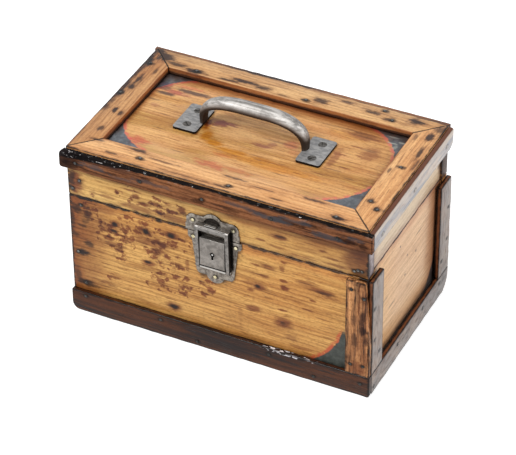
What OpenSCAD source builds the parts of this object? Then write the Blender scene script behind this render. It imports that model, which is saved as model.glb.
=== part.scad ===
// Wooden parts chest: a nailed pine box with a hinged lid, dark outer strips,
// a steel carrying handle on the lid and a hasp lock on the front.
// Millimetres. +Z is up, +X runs to the right along the front, and the front
// faces -Y. The origin is the centre of the chest's underside.

/* [Box] */
// Length of the chest along its front
body_w = 300; // [260:5:360]
// Depth of the chest from front to back
body_d = 178; // [160:2:220]
// Height of the lower box up to the parting line
body_h = 130; // [110:2:170]
// Height of the lid from the parting line to the top of its frame
lid_h = 53; // [48:1:70]
// Thickness of the front, back and end boards
board_t = 12.7; // [11:0.1:16]
// Thickness of the bottom board
bottom_t = 9; // [7:0.5:14]
// Thickness of the lid's top board
top_t = 12; // [10:0.5:16]
// Gap between the lid and the lower box
seam_gap = 0.5; // [0.3:0.1:1]
// Distance that the end boards sit back from the ends of the front board
end_recess = 2; // [0.5:0.5:3]

/* [Dark strips] */
// Thickness of the strips nailed round the outside
strip_t = 5; // [4:0.5:8]
// Height of the rails along the bottom edge
rail_h = 23; // [18:1:30]
// Width of the upright stiles at the corners
stile_w = 24; // [18:1:32]
// Distance that the front stile's foot sits back from the corner
stile_in = 0.5; // [0:0.5:3]
// Amount that the worn front stile narrows towards its top
stile_taper = 3; // [0:0.5:6]
// Distance from the top of the stiles to the parting line
stile_drop = 1.5; // [1:0.5:6]
// Height of the strips round the lid
fascia_h = 21; // [18:1:26]
// Distance that the lid strips stop below the lid's top
fascia_drop = 1.5; // [0.5:0.5:4]
// Amount worn off the top of the front lid strip at its left end
fascia_worn = 4; // [0:0.5:6]
// Length that is left of the broken strip on the lid's left side
left_fascia_len = 92; // [60:1:140]
// Thickness of the broken strip
left_fascia_t = 3; // [2:0.5:5]
// Distance that the broken strip stops below the lid's top
left_fascia_drop = 8; // [1:0.5:9]
// Radius of the worn lower corners of the long strips
worn_r = 8; // [4:1:10]
// Radius of the worn back corner of the end rail
end_rail_r = 15; // [8:1:17]

/* [Lid frame] */
// Width of the four mitred battens on the lid
frame_w = 25; // [20:1:32]
// Thickness of the mitred battens
frame_t = 6.5; // [5:0.5:9]

/* [Nails and screws] */
// Radius of a wire nail
nail_r = 0.9; // [0.7:0.1:1.2]
// Radius of a wire nail's head
nail_head_r = 1.7; // [1.4:0.1:2.4]
// Thickness of a nail's head
nail_head_t = 0.7; // [0.5:0.1:1]
// Height that a nail's head stands out of the wood
nail_proud = 0.3; // [0.1:0.1:0.5]
// Length of the nails through the boards
board_nail = 30; // [25:1:38]
// Length of the nails through the strips
strip_nail = 16; // [12:1:17]
// Length of the nails through the lid's battens
frame_nail = 15; // [12:1:17]
// Length of the nails that hold the lock's plates
lock_nail = 13; // [9:1:13]

/* [Handle] */
// Distance of the handle's middle from the lid's middle, to the left
handle_left = 6.5; // [0:0.5:20]
// Distance of the handle's middle from the lid's middle, to the back
handle_back = 5.5; // [0:0.5:12]
// Length of the handle over its feet
handle_len = 148; // [120:1:170]
// Length of one foot along the handle
foot_len = 24; // [20:1:28]
// Width of one foot across the handle
foot_w = 41; // [34:1:48]
// Thickness of a foot
foot_t = 2.4; // [1.8:0.1:3]
// Radius of a foot's corners
foot_r = 2.5; // [1:0.5:5]
// Height of the grip's underside above the lid's panel
grip_clear = 26.5; // [20:0.5:34]
// Width of the grip in the middle
grip_w = 16; // [12:1:20]
// Thickness of the grip in the middle
grip_t = 9; // [6:0.5:11]
// Width of the grip where it meets a foot
neck_w = 11; // [8:1:14]
// Thickness of the grip where it meets a foot
neck_t = 4.5; // [3:0.5:7]
// Distance between the two screws of a foot
handle_screw_gap = 23; // [18:1:28]
// Distance of the screws from the foot's outer end
handle_screw_in = 11; // [8:0.5:13]
// Radius of a handle screw's head
screw_head_r = 4; // [3:0.1:4.4]
// Radius of a handle screw's shank
screw_r = 2; // [1.5:0.1:2.4]
// Length of a handle screw
screw_len = 13; // [9:0.5:13]

/* [Lock] */
// Thickness of the two lock plates
plate_t = 1.2; // [0.9:0.1:1.6]
// Half of the plates' width where they meet
plate_half = 27; // [25:0.5:30]
// Width of the lock case
case_w = 26; // [23:0.5:27]
// Height of the lock case
case_h = 30.5; // [27:0.5:34]
// Depth of the lock case in front of its plate
case_t = 5.5; // [4.5:0.1:7]
// Wall of the lock case
case_wall = 1; // [0.8:0.1:1.2]
// Width of one arm of the hasp
arm_w = 3.4; // [3:0.1:4]
// Depth of the hasp at its top bar
hasp_t = 6.4; // [5:0.1:7.5]
// Height of the hasp's top bar
bar_h = 5.2; // [4:0.1:6]
// Height of the hasp's top bar above the parting line
bar_above = 7; // [6:0.1:9]
// Radius of the round hole of the keyhole
keyhole_r = 2.3; // [1.8:0.1:2.6]
// Width of the keyhole's slot
key_slot_w = 1.9; // [1.4:0.1:2.2]
// Radius of the key post
key_post_r = 0.8; // [0.5:0.1:1]
// Travel of the bolt into the hasp
bolt_travel = 2.2; // [1.5:0.1:2.4]
// Height of the bolt
bolt_h = 4.5; // [3.5:0.5:5]

/* [Hinges] */
// Distance of a hinge's middle from the chest's end
hinge_in = 55; // [40:1:80]
// Length of a hinge
hinge_len = 38; // [32:1:50]
// Height of a hinge leaf above or below the pin
leaf_h = 19; // [16:1:24]
// Thickness of a hinge leaf
leaf_t = 1.5; // [1.2:0.1:2]
// Radius of a hinge pin
pin_r = 1.3; // [1:0.1:1.5]
// Outer radius of a hinge knuckle
knuckle_r = 2.9; // [2.7:0.1:3.4]
// Length of the middle knuckle
mid_knuckle = 12.4; // [10:0.2:16]

/* [Hidden] */

// Outer faces of the box
half_w = body_w / 2;
half_d = body_d / 2;
// Outer and inner faces of the end boards
end_face = half_w - end_recess;
end_inner = end_face - board_t;
// Inner faces of the front and back boards
wall_inner = half_d - board_t;
// Heights of the lid's parts
lid_z0 = body_h + seam_gap;
lid_top = body_h + lid_h + seam_gap;
panel_z = lid_top - frame_t;
top_board_z = panel_z - top_t;
fascia_z = lid_top - fascia_h;
// Clearance of a part that runs on a pin, and between parts that pass each other
pin_gap = 0.05;
run_gap = 0.3;
// Round parts
$fn = 48;

// A place along a side: from the left or front end if positive, from the other if negative
function along(d, half) = d > 0 ? d - half : d + half;
// A height on the lower box: from the floor if positive, from the parting line if negative
function height(z) = z > 0 ? z : body_h + z;

// Places that face outwards on each side, with the child's +Z pointing out
module on_front(x, z, out = 0) { translate([x, -half_d - out, z]) rotate([90, 0, 0]) children(); }
module on_back(x, z, out = 0) { translate([x, half_d + out, z]) rotate([-90, 0, 0]) children(); }
module on_right(y, z, out = 0) { translate([half_w + out, y, z]) rotate([0, 90, 0]) children(); }
module on_left(y, z, out = 0) { translate([-half_w - out, y, z]) rotate([0, -90, 0]) children(); }

module box(x0, x1, y0, y1, z0, z1) {
    translate([x0, y0, z0]) cube([x1 - x0, y1 - y0, z1 - z0]);
}

// A nail with its head at the origin, driven down -Z
module nail(length, proud = nail_proud) {
    translate([0, 0, proud - nail_head_t]) cylinder(r = nail_head_r, h = nail_head_t);
    translate([0, 0, proud - length]) cylinder(r = nail_r, h = length - nail_head_t / 2);
}

// A countersunk screw with a slot, its head's top at the origin, driven down -Z
module slotted_screw(head_r, shank_r, length, slot_w) {
    head_h = head_r - shank_r;
    difference() {
        union() {
            translate([0, 0, -head_h]) cylinder(r1 = shank_r, r2 = head_r, h = head_h);
            translate([0, 0, -length]) cylinder(r = shank_r, h = length - head_h / 2);
        }
        translate([-head_r, -slot_w / 2, -slot_w]) cube([2 * head_r, slot_w, 2 * slot_w]);
    }
}

// The hole that seats such a screw, from a face at the origin down -Z
module screw_hole(head_r, shank_r, depth) {
    head_h = head_r - shank_r;
    gap = 2 * pin_gap;
    translate([0, 0, -depth - 1]) cylinder(r = shank_r + gap, h = depth + 2);
    translate([0, 0, -head_h]) cylinder(r1 = shank_r + gap, r2 = head_r + gap, h = head_h);
    cylinder(r = head_r + gap, h = 1);
}

pine = "burlywood";
old_strip = "saddlebrown";
steel = "darkgray";

// Boards of the lower box. The bottom lies under the four walls.

module bottom_board() {
    color(pine) box(-end_face, end_face, -half_d, half_d, 0, bottom_t);
}

module front_board() {
    color(pine) box(-half_w, half_w, -half_d, -wall_inner, bottom_t, body_h);
}

module back_board() {
    color(pine) box(-half_w, half_w, wall_inner, half_d, bottom_t, body_h);
}

module end_board(side, z0, z1) {
    color(pine)
        box(side < 0 ? -end_face : end_inner, side < 0 ? -end_inner : end_face,
            -wall_inner, wall_inner, z0, z1);
}

module left_end_board() { end_board(-1, bottom_t, body_h); }
module right_end_board() { end_board(1, bottom_t, body_h); }

// Dark strips of the lower box: front and right end only

stile_top = body_h - stile_drop;

// The front rail also covers the end rail's end, and its left lower corner is worn
module front_rail() {
    color(old_strip)
        translate([0, -half_d, 0]) rotate([90, 0, 0]) linear_extrude(strip_t) {
            translate([-half_w + worn_r, 0]) square([body_w + strip_t - worn_r, rail_h]);
            translate([-half_w, worn_r]) square([body_w, rail_h - worn_r]);
            translate([-half_w + worn_r, worn_r]) circle(worn_r);
        }
}

// The front stile leans away from the corner towards its top
module front_stile() {
    right = half_w + strip_t - stile_in;
    left = right - stile_w;
    color(old_strip)
        translate([0, -half_d, 0]) rotate([90, 0, 0]) linear_extrude(strip_t)
            polygon([[left, rail_h], [right, rail_h], [right - stile_taper, stile_top], [left, stile_top]]);
}

// The end rail runs from front to back, with a worn corner at the back
module end_rail() {
    color(old_strip)
        translate([half_w, 0, 0]) rotate([90, 0, 90]) linear_extrude(strip_t) {
            translate([-half_d, 0]) square([body_d - end_rail_r, rail_h]);
            translate([-half_d, end_rail_r]) square([body_d, rail_h - end_rail_r]);
            intersection() {
                translate([half_d - end_rail_r, end_rail_r]) circle(end_rail_r);
                translate([-half_d, 0]) square([body_d, rail_h]);
            }
        }
}

module end_stile_front() {
    color(old_strip) box(half_w, half_w + strip_t, -half_d, -half_d + stile_w, rail_h, stile_top);
}

module end_stile_back() {
    color(old_strip) box(half_w, half_w + strip_t, half_d - stile_w, half_d, rail_h, stile_top);
}

// Nails of the lower box: heights on the left of the front and on the back,
// and places along the bottom's edge
joint_in = end_recess + board_t / 2;
left_nails = [[joint_in + 4.5, -9], [joint_in - 1.5, 66], [joint_in + 5, 31]];
back_nail_z = [22, 66, -15];
bottom_nail_x = [40, 110, -110, -40];
bottom_nail_y = 55;

module board_nails() {
    color(steel) {
        for (p = left_nails) on_front(along(p[0], half_w), height(p[1])) nail(board_nail);
        for (side = [-1, 1], z = back_nail_z)
            on_back(side * (half_w - joint_in), height(z)) nail(board_nail);
        for (d = bottom_nail_x, side = [-1, 1])
            translate([along(d, half_w), side * (half_d - board_t / 2), 0])
                rotate([180, 0, 0]) nail(board_nail, 0);
        for (side = [-1, 1], end = [-1, 1])
            translate([end * (half_w - joint_in), side * (half_d - bottom_nail_y), 0])
                rotate([180, 0, 0]) nail(board_nail, 0);
    }
}

// Nails of the strips: [place along the strip, height]
rail_nails = [[15, 19], [94, 18], [132, 5], [205, 16], [250, 6], [-4, 14]];
front_stile_nails = [[-14, -11], [-1.5, -18], [-14, 34], [-1.5, 35]];
end_rail_nails = [[6, 6], [60, 15], [-60, 15], [-20, 16]];
end_stile_nails = [[5, -34], [17, 40], [6, 60]];

module strip_nails() {
    color(steel) {
        for (p = concat(rail_nails, front_stile_nails))
            on_front(along(p[0], half_w), height(p[1]), strip_t) nail(strip_nail);
        for (p = end_rail_nails) on_right(along(p[0], half_d), p[1], strip_t) nail(strip_nail);
        for (p = end_stile_nails, side = [-1, 1])
            on_right(side * (half_d - p[0]), height(p[1]), strip_t) nail(strip_nail);
    }
}

// Boards of the lid. The top board lies over the four walls.

module lid_top_board() {
    color(pine) box(-half_w, half_w, -half_d, half_d, top_board_z, panel_z);
}

module lid_front_board() {
    color(pine) box(-half_w, half_w, -half_d, -wall_inner, lid_z0, top_board_z);
}

module lid_back_board() {
    color(pine) box(-half_w, half_w, wall_inner, half_d, lid_z0, top_board_z);
}

module lid_left_board() { end_board(-1, lid_z0, top_board_z); }
module lid_right_board() { end_board(1, lid_z0, top_board_z); }

// A batten of the lid's frame, mitred at both ends, along X at the front
module long_batten() {
    linear_extrude(frame_t)
        polygon([[-half_w, -half_d], [half_w, -half_d],
                 [half_w - frame_w, -half_d + frame_w], [-half_w + frame_w, -half_d + frame_w]]);
}

// The same along Y at the left end
module short_batten() {
    linear_extrude(frame_t)
        polygon([[-half_w, -half_d], [-half_w + frame_w, -half_d + frame_w],
                 [-half_w + frame_w, half_d - frame_w], [-half_w, half_d]]);
}

module frame_front() { color(pine) translate([0, 0, panel_z]) long_batten(); }
module frame_back() { color(pine) translate([0, 0, panel_z]) rotate([0, 0, 180]) long_batten(); }
module frame_left() { color(pine) translate([0, 0, panel_z]) short_batten(); }
module frame_right() { color(pine) translate([0, 0, panel_z]) rotate([0, 0, 180]) short_batten(); }

// Strips round the lid's top edge. The front one covers the ends of the others.
fascia_top = lid_top - fascia_drop;
// Length over which the front strip's top is worn down
fascia_worn_len = 70;

module fascia_front() {
    end = half_w + strip_t;
    color(old_strip)
        translate([0, -half_d, 0]) rotate([90, 0, 0]) linear_extrude(strip_t)
            polygon([[-end, fascia_z], [end, fascia_z], [end, fascia_top],
                     [-end + fascia_worn_len, fascia_top], [-end, fascia_top - fascia_worn]]);
}

module fascia_right() {
    h = fascia_top - fascia_z;
    color(old_strip)
        translate([half_w, 0, fascia_z]) rotate([90, 0, 90]) linear_extrude(strip_t) {
            translate([-half_d, 0]) square([body_d - worn_r, h]);
            translate([-half_d, worn_r]) square([body_d, h - worn_r]);
            translate([half_d - worn_r, worn_r]) circle(worn_r);
        }
}

module fascia_back() {
    color(old_strip)
        box(-half_w - left_fascia_t, half_w, half_d, half_d + strip_t, fascia_z, fascia_top);
}

// Only the back part of the left strip is still there, and worn thin
module fascia_left() {
    color(old_strip)
        box(-half_w - left_fascia_t, -half_w, half_d - left_fascia_len, half_d,
            fascia_z, lid_top - left_fascia_drop);
}

// Nails of the lid: [place along the board, height above the parting line]
lid_front_nails = [
    [joint_in + 4, 18.5], [joint_in - 3.5, 8],
    [-joint_in - 5.3, 6], [-joint_in - 1.6, 7.8], [-joint_in + 2.1, 7.4]
];
lid_back_nail_z = [9, 24];

module lid_nails() {
    color(steel) {
        for (p = lid_front_nails) on_front(along(p[0], half_w), body_h + p[1]) nail(board_nail);
        for (side = [-1, 1], z = lid_back_nail_z)
            on_back(side * (half_w - joint_in), body_h + z) nail(board_nail);
    }
}

// Nails of the frame: [place from the left or right, place from the front or back]
frame_nail_places = [
    [4, 97], [6.5, -26], [52, -19], [165, -19], [-62, -4.5], [-50, -15],
    [-13.5, -79], [-17, 41], [-7, 32], [-35, 7.5], [70, 12], [160, 8]
];

module frame_nails() {
    color(steel)
        for (p = frame_nail_places)
            translate([along(p[0], half_w), along(p[1], half_d), lid_top]) nail(frame_nail);
}

// Nails of the lid's strips, driven into the top board's edge
fascia_nail_z = top_board_z + top_t / 2;
fascia_front_nails = [12, 78, 140, -92, -28];
fascia_end_nails = [18, -89, -16];
fascia_back_nails = [25, 105, -105, -25];
fascia_left_nails = [-12, -78];

module fascia_nails() {
    color(steel) {
        for (d = fascia_front_nails) on_front(along(d, half_w), fascia_nail_z, strip_t) nail(strip_nail);
        for (d = fascia_back_nails) on_back(along(d, half_w), fascia_nail_z, strip_t) nail(strip_nail);
        for (d = fascia_end_nails) on_right(along(d, half_d), fascia_nail_z, strip_t) nail(strip_nail);
        for (d = fascia_left_nails)
            on_left(along(d, half_d), fascia_nail_z, left_fascia_t) nail(strip_nail);
    }
}

// Carrying handle: one steel piece, a swelling half-oval grip between two flat feet.
// It is drawn round its own middle with the panel at z = 0.

grip_rings = 40;
grip_sides = 20;
// The grip's line: a square-shouldered arch
arch_power = 3.1;
// The line stands on the feet's inner ends and is measured at the grip's underside
arch_half = handle_len / 2 - foot_len;
arch_rise = grip_clear - foot_t / 2;

function powered(v, p) = sign(v) * pow(abs(v), p);
function arch_at(a) =
    [-arch_half * powered(cos(a), 2 / arch_power), foot_t / 2 + arch_rise * powered(sin(a), 2 / arch_power)];
// The outward direction of the arch at an angle
function arch_out(a) =
    let (p = arch_at(max(a - 1, 0)), q = arch_at(min(a + 1, 180)), d = q - p)
    [-d[1], d[0]] / norm(d);
// The grip swells from its necks to its middle
function swell(a) = pow(sin(a), 0.8);
function grip_ring(a) =
    let (p = arch_at(a), n = arch_out(a),
         w = neck_w + (grip_w - neck_w) * swell(a), t = neck_t + (grip_t - neck_t) * swell(a))
    [for (i = [0:grip_sides - 1])
        let (s = 360 * i / grip_sides, up = sin(s) > 0 ? t * pow(sin(s), 0.8) : 0.12 * t * sin(s))
        [p[0] + n[0] * up, w / 2 * cos(s), p[1] + n[1] * up]];

module grip() {
    rings = [for (k = [0:grip_rings]) grip_ring(180 * k / grip_rings)];
    points = [for (r = rings) each r];
    sides = [for (k = [0:grip_rings - 1], i = [0:grip_sides - 1])
        let (a = k * grip_sides + i, b = k * grip_sides + (i + 1) % grip_sides)
        each [[b, a, a + grip_sides], [b, a + grip_sides, b + grip_sides]]];
    first = [for (i = [0:grip_sides - 1]) i];
    last = [for (i = [grip_sides - 1:-1:0]) grip_rings * grip_sides + i];
    polyhedron(points, concat(sides, [first, last]), convexity = 4);
}

// A flat plate with round corners, centred, standing on z = 0
module rounded_plate(w, d, t, r) {
    translate([-w / 2 + r, -d / 2, 0]) cube([w - 2 * r, d, t]);
    translate([-w / 2, -d / 2 + r, 0]) cube([w, d - 2 * r, t]);
    for (x = [-1, 1], y = [-1, 1])
        translate([x * (w / 2 - r), y * (d / 2 - r), 0]) cylinder(r = r, h = t);
}

module at_handle() { translate([-handle_left, handle_back, panel_z]) children(); }

module at_handle_screws() {
    for (side = [-1, 1], y = [-1, 1])
        translate([side * (handle_len / 2 - handle_screw_in), y * handle_screw_gap / 2, foot_t])
            rotate([0, 0, 35 + 50 * side + 30 * y]) children();
}

module handle() {
    color(steel) at_handle() {
        grip();
        difference() {
            for (side = [-1, 1])
                translate([side * (handle_len - foot_len) / 2, 0, 0])
                    rounded_plate(foot_len, foot_w, foot_t, foot_r);
            at_handle_screws() screw_hole(screw_head_r, screw_r, foot_t);
        }
    }
}

module handle_screws() {
    color(steel) at_handle() at_handle_screws() slotted_screw(screw_head_r, screw_r, screw_len, 1);
}

// Lock. Its flat parts are drawn in the front's plane, x to the right and
// y up from the parting line, and stand out from the front by the child's +Z.

module on_lock(out = 0) { on_front(0, body_h, out) children(); }

// Height of the seam's edges on the two plates
catch_z0 = seam_gap + 0.1;
plate_edge = 0.3;

// The catch plate on the lid: two ears, a round crest between them and a punched arch.
// It is nailed on a little to the left of the lock case.
catch_x = -2;
// Height of the plate's widest part, and the distance that the ears stand in from it
skirt_h = 7;
ear_in = 1;
ear_r = 6.5;
ear_x = plate_half - ear_in - ear_r;
ear_y = 12.5;
// Height of the plate between the ears and the crest
web_y = 18.6;
crest_r = 9.5;
crest_y = 14.2;
// The punched arch's middle and radius
punch_y = 10.5;
punch_r = 9;

module catch_outline() {
    ear_half = plate_half - ear_in;
    translate([-plate_half, catch_z0]) square([2 * plate_half, skirt_h]);
    translate([-ear_half, catch_z0]) square([2 * ear_half, ear_y - catch_z0]);
    translate([-ear_x, catch_z0]) square([2 * ear_x, web_y - catch_z0]);
    for (side = [-1, 1]) translate([side * ear_x, ear_y]) circle(ear_r);
    translate([0, crest_y]) circle(crest_r);
}

module punched_arch() {
    intersection() {
        translate([0, punch_y]) circle(punch_r);
        translate([-punch_r, bar_above + bar_h + run_gap]) square([2 * punch_r, crest_r + 3]);
    }
}

// The tongue left by the punched arch curls out over the hasp's top bar
tongue_w = 11;
tongue_t = 1;
tongue_out = hasp_t - 0.5;

// Its left nail, and its right one just clear of the hasp's arm
catch_nail_x = [catch_x - ear_x, case_w / 2 + arm_w + nail_head_r + 0.8];
catch_nail_y = 12.6;

module at_catch_nails() { for (x = catch_nail_x) translate([x, catch_nail_y, 0]) children(); }

module catch_plate() {
    tongue_y = bar_above + bar_h + 2 * run_gap;
    color(steel) on_lock() {
        difference() {
            translate([catch_x, 0, 0]) linear_extrude(plate_t) catch_outline();
            translate([catch_x, 0, -1]) linear_extrude(plate_t + 2)
                difference() {
                    punched_arch();
                    translate([-tongue_w / 2, 0]) square([tongue_w, tongue_y + tongue_t]);
                }
            at_catch_nails() translate([0, 0, -1]) cylinder(r = nail_r + 2 * pin_gap, h = plate_t + 2);
        }
        translate([catch_x - tongue_w / 2, tongue_y, 0]) cube([tongue_w, tongue_t, tongue_out]);
        translate([catch_x - tongue_w / 2, tongue_y + tongue_t, tongue_out - tongue_t / 2])
            rotate([0, 90, 0]) cylinder(r = tongue_t, h = tongue_w);
    }
}

module catch_nails() {
    color("goldenrod") on_lock(plate_t) at_catch_nails() nail(lock_nail, nail_head_t);
}

// The plate on the lower box, which carries the case and the hasp's pin.
// Its round upper corners:
shoulder_y = -5;
shoulder_r = 3.5;
// Half widths of its sides below the corners and at the foot
waist_half = plate_half - 3;
foot_half = plate_half - 7.8;
// The foot's round corners, its lower edge, and the lobe in its middle
foot_corner_r = 4.5;
foot_x = foot_half - foot_corner_r;
foot_corner_y = -41.2;
foot_y = foot_corner_y - foot_corner_r;
lobe_r = 9;
lobe_y = -43.6;
case_top_y = -0.7;
case_bottom_y = case_top_y - case_h;
// The hasp's pin and the eyes on its arms
eye_r = 2.4;
hasp_pin_r = 1.1;
pin_out = plate_t + run_gap + eye_r;
pin_y = case_bottom_y - eye_r - run_gap;
// Nails of the lower plate: two corners and the bottom lobe
corner_nail = [21.3, -5.8];
lobe_nail_y = -45.4;

module plate_outline() {
    translate([-plate_half, shoulder_y]) square([2 * plate_half, -shoulder_y - plate_edge]);
    for (side = [-1, 1]) translate([side * (plate_half - shoulder_r), shoulder_y]) circle(shoulder_r);
    polygon([[-waist_half, -plate_edge], [waist_half, -plate_edge], [foot_half, foot_corner_y],
             [foot_x, foot_y], [-foot_x, foot_y], [-foot_half, foot_corner_y]]);
    for (side = [-1, 1]) translate([side * foot_x, foot_corner_y]) circle(foot_corner_r);
    translate([0, lobe_y]) circle(lobe_r);
}

module at_plate_nails() {
    for (side = [-1, 1]) translate([side * corner_nail[0], corner_nail[1], 0]) children();
    translate([0, lobe_nail_y, 0]) children();
}

barrel_half = case_w / 2;

module lock_plate() {
    color(steel) on_lock() difference() {
        union() {
            linear_extrude(plate_t) plate_outline();
            translate([-barrel_half, pin_y, pin_out]) rotate([0, 90, 0])
                cylinder(r = eye_r, h = 2 * barrel_half);
            translate([-barrel_half, pin_y - eye_r / 2, 0]) cube([2 * barrel_half, eye_r, pin_out]);
        }
        at_plate_nails() translate([0, 0, -1]) cylinder(r = nail_r + 2 * pin_gap, h = plate_t + 2);
        translate([-barrel_half - 1, pin_y, pin_out]) rotate([0, 90, 0])
            cylinder(r = hasp_pin_r + pin_gap, h = 2 * barrel_half + 2);
    }
}

module lock_plate_nails() {
    color("goldenrod") on_lock(plate_t) at_plate_nails() nail(lock_nail, nail_head_t);
}

// The case: an open-backed box with the keyhole, and a window for the bolt
keyhole_y = -17;
key_slot_len = 2.6 * keyhole_r;
// Distance of the bolt above the keyhole's middle, its thickness and its notch for the key
bolt_above_key = 5.5;
bolt_y = keyhole_y + bolt_above_key;
bolt_t = 2;
bit_w = 3;
bit_h = 1.5;

module lock_case() {
    color(steel) on_lock(plate_t) difference() {
        translate([-case_w / 2, case_bottom_y, 0]) cube([case_w, case_h, case_t]);
        translate([-case_w / 2 + case_wall, case_bottom_y + case_wall, -1])
            cube([case_w - 2 * case_wall, case_h - 2 * case_wall, case_t - case_wall + 1]);
        translate([0, keyhole_y, 0]) cylinder(r = keyhole_r, h = case_t + 1);
        translate([-key_slot_w / 2, keyhole_y - key_slot_len, 0])
            cube([key_slot_w, key_slot_len, case_t + 1]);
        translate([0, bolt_y - run_gap, -1])
            cube([case_w, bolt_h + 2 * run_gap, bolt_t + 2 * run_gap + 1]);
    }
}

module key_post() {
    color(steel) on_lock(plate_t) translate([0, keyhole_y, 0])
        cylinder(r = key_post_r, h = case_t - 0.4);
}

// The bolt, drawn back. The key's bit drives it by the notch in its lower edge.
module lock_bolt() {
    left = -case_w / 2 + case_wall + run_gap;
    color("goldenrod") on_lock(plate_t) difference() {
        translate([left, bolt_y, run_gap]) cube([case_w - case_wall - run_gap - 0.1, bolt_h, bolt_t]);
        translate([-bit_w / 2, bolt_y - 1, 0]) cube([bit_w, bit_h + 1, bolt_t + 2]);
    }
}

// A bent leaf spring, held under the case's top wall, that bears on the bolt
spring_t = 0.5;
// Places along it: its fixed end, its two bends and its free end, which rises a little
spring_x = [-10, -3, 6, 9];
spring_rise = 1;

module bolt_spring() {
    top = case_top_y - case_wall;
    low = bolt_y + bolt_h + 2 * pin_gap;
    color(steel) on_lock(plate_t) translate([0, 0, run_gap]) linear_extrude(bolt_t)
        polygon([[spring_x[0], top], [spring_x[1], top], [spring_x[2], low + spring_t],
                 [spring_x[3], low + spring_t + spring_rise], [spring_x[3], low + spring_rise],
                 [spring_x[2], low], [spring_x[1], top - spring_t], [spring_x[0], top - spring_t]]);
}

// The hasp: an inverted U whose arms thin out towards the pin at their foot
arm_in = case_w / 2 + run_gap + 0.05;
arm_out = arm_in + arm_w;
hasp_back = plate_t + run_gap;
hasp_front = hasp_back + hasp_t;
hasp_top = bar_above + bar_h;
// Depth of the worn edge on the front of the bar
bar_edge = 1;
// Room past the bolt's end in the arm's pocket
pocket_room = 0.2;

// Side view of an arm: [out from the front, up from the parting line]
module arm_side() {
    difference() {
        union() {
            polygon([[hasp_back, pin_y], [pin_out + eye_r, pin_y],
                     [hasp_front, bar_above + bar_edge], [hasp_front, hasp_top - bar_edge],
                     [hasp_front - bar_edge, hasp_top], [hasp_back, hasp_top]]);
            translate([pin_out, pin_y]) circle(eye_r);
        }
        translate([pin_out, pin_y]) circle(hasp_pin_r + pin_gap);
    }
}

module lock_hasp() {
    color(steel) translate([0, -half_d, body_h]) difference() {
        union() {
            for (x0 = [-arm_out, arm_in])
                translate([x0, 0, 0]) rotate([90, 0, 90]) linear_extrude(arm_w)
                    mirror([1, 0]) arm_side();
            translate([-arm_out, -hasp_front + bar_edge, bar_above])
                cube([2 * arm_out, hasp_front - hasp_back - bar_edge, bar_h]);
            translate([-arm_out, -hasp_front, bar_above + bar_edge])
                cube([2 * arm_out, 2 * bar_edge, bar_h - 2 * bar_edge]);
        }
        translate([arm_in - 1, -plate_t - bolt_t - 3 * run_gap, bolt_y - run_gap])
            cube([bolt_travel + 1 + pocket_room, bolt_t + 4 * run_gap, bolt_h + 2 * run_gap]);
    }
}

// A pin along X from the origin, with a riveted head at each end
rivet_t = 0.9;
rivet_r = 0.6;

module riveted_pin(r, length) {
    rotate([0, 90, 0]) {
        cylinder(r = r, h = length);
        for (z = [-rivet_t, length]) translate([0, 0, z]) cylinder(r = r + rivet_r, h = rivet_t);
    }
}

module hasp_pin() {
    half = arm_out + 0.2;
    color(steel) on_lock() translate([-half, pin_y, pin_out]) riveted_pin(hasp_pin_r, 2 * half);
}

// Butt hinges on the back. The pin stands clear of the boards by the knuckle's radius.
hinge_y = half_d + knuckle_r + 0.15;
hinge_z = body_h + seam_gap / 2;
hinge_x = half_w - hinge_in;
knuckle_gap = 0.2;
leaf_notch = knuckle_r + 0.5;
leaf_screw_x = hinge_len / 2 - 7;
leaf_screw_z = leaf_h - 6.5;
leaf_screw_head = 3;
leaf_screw_r = 1.5;
leaf_screw_len = 11;

module at_hinge(side) { translate([side * hinge_x, hinge_y, hinge_z]) children(); }

// A length of knuckle along X
module knuckle(x0, x1) {
    translate([x0, 0, 0]) rotate([0, 90, 0]) cylinder(r = knuckle_r, h = x1 - x0);
}

module at_leaf_screws(up) {
    for (x = [-1, 1])
        translate([x * leaf_screw_x, half_d + leaf_t - hinge_y, up * leaf_screw_z])
            rotate([-90, 0, 0]) rotate([0, 0, 40 * x + 25 * up]) children();
}

// One leaf round the pin at the origin. It lies on the boards and rises (up = 1) or hangs.
module leaf(up, knuckles) {
    back = half_d - hinge_y;
    low = up > 0 ? 0 : -leaf_h;
    difference() {
        union() {
            translate([-hinge_len / 2, back, up > 0 ? leaf_notch : -leaf_h])
                cube([hinge_len, leaf_t, leaf_h - leaf_notch]);
            for (k = knuckles) {
                knuckle(k[0], k[1]);
                translate([k[0], back, low]) cube([k[1] - k[0], leaf_t, leaf_h]);
            }
        }
        translate([-hinge_len, 0, 0]) rotate([0, 90, 0]) cylinder(r = pin_r + pin_gap, h = 2 * hinge_len);
        at_leaf_screws(up) screw_hole(leaf_screw_head, leaf_screw_r, leaf_t);
    }
}

side_knuckles = [[-hinge_len / 2, -mid_knuckle / 2 - knuckle_gap],
                 [mid_knuckle / 2 + knuckle_gap, hinge_len / 2]];
middle_knuckle = [[-mid_knuckle / 2, mid_knuckle / 2]];

module hinge_body_leaf(side) { color(steel) at_hinge(side) leaf(-1, side_knuckles); }
module hinge_lid_leaf(side) { color(steel) at_hinge(side) leaf(1, middle_knuckle); }

module hinge_pin(side) {
    half = hinge_len / 2 + 0.1;
    color(steel) at_hinge(side) translate([-half, 0, 0]) riveted_pin(pin_r, 2 * half);
}

module hinge_screws(up) {
    color(steel)
        for (side = [-1, 1])
            at_hinge(side) at_leaf_screws(up)
                slotted_screw(leaf_screw_head, leaf_screw_r, leaf_screw_len, 0.7);
}

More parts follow.
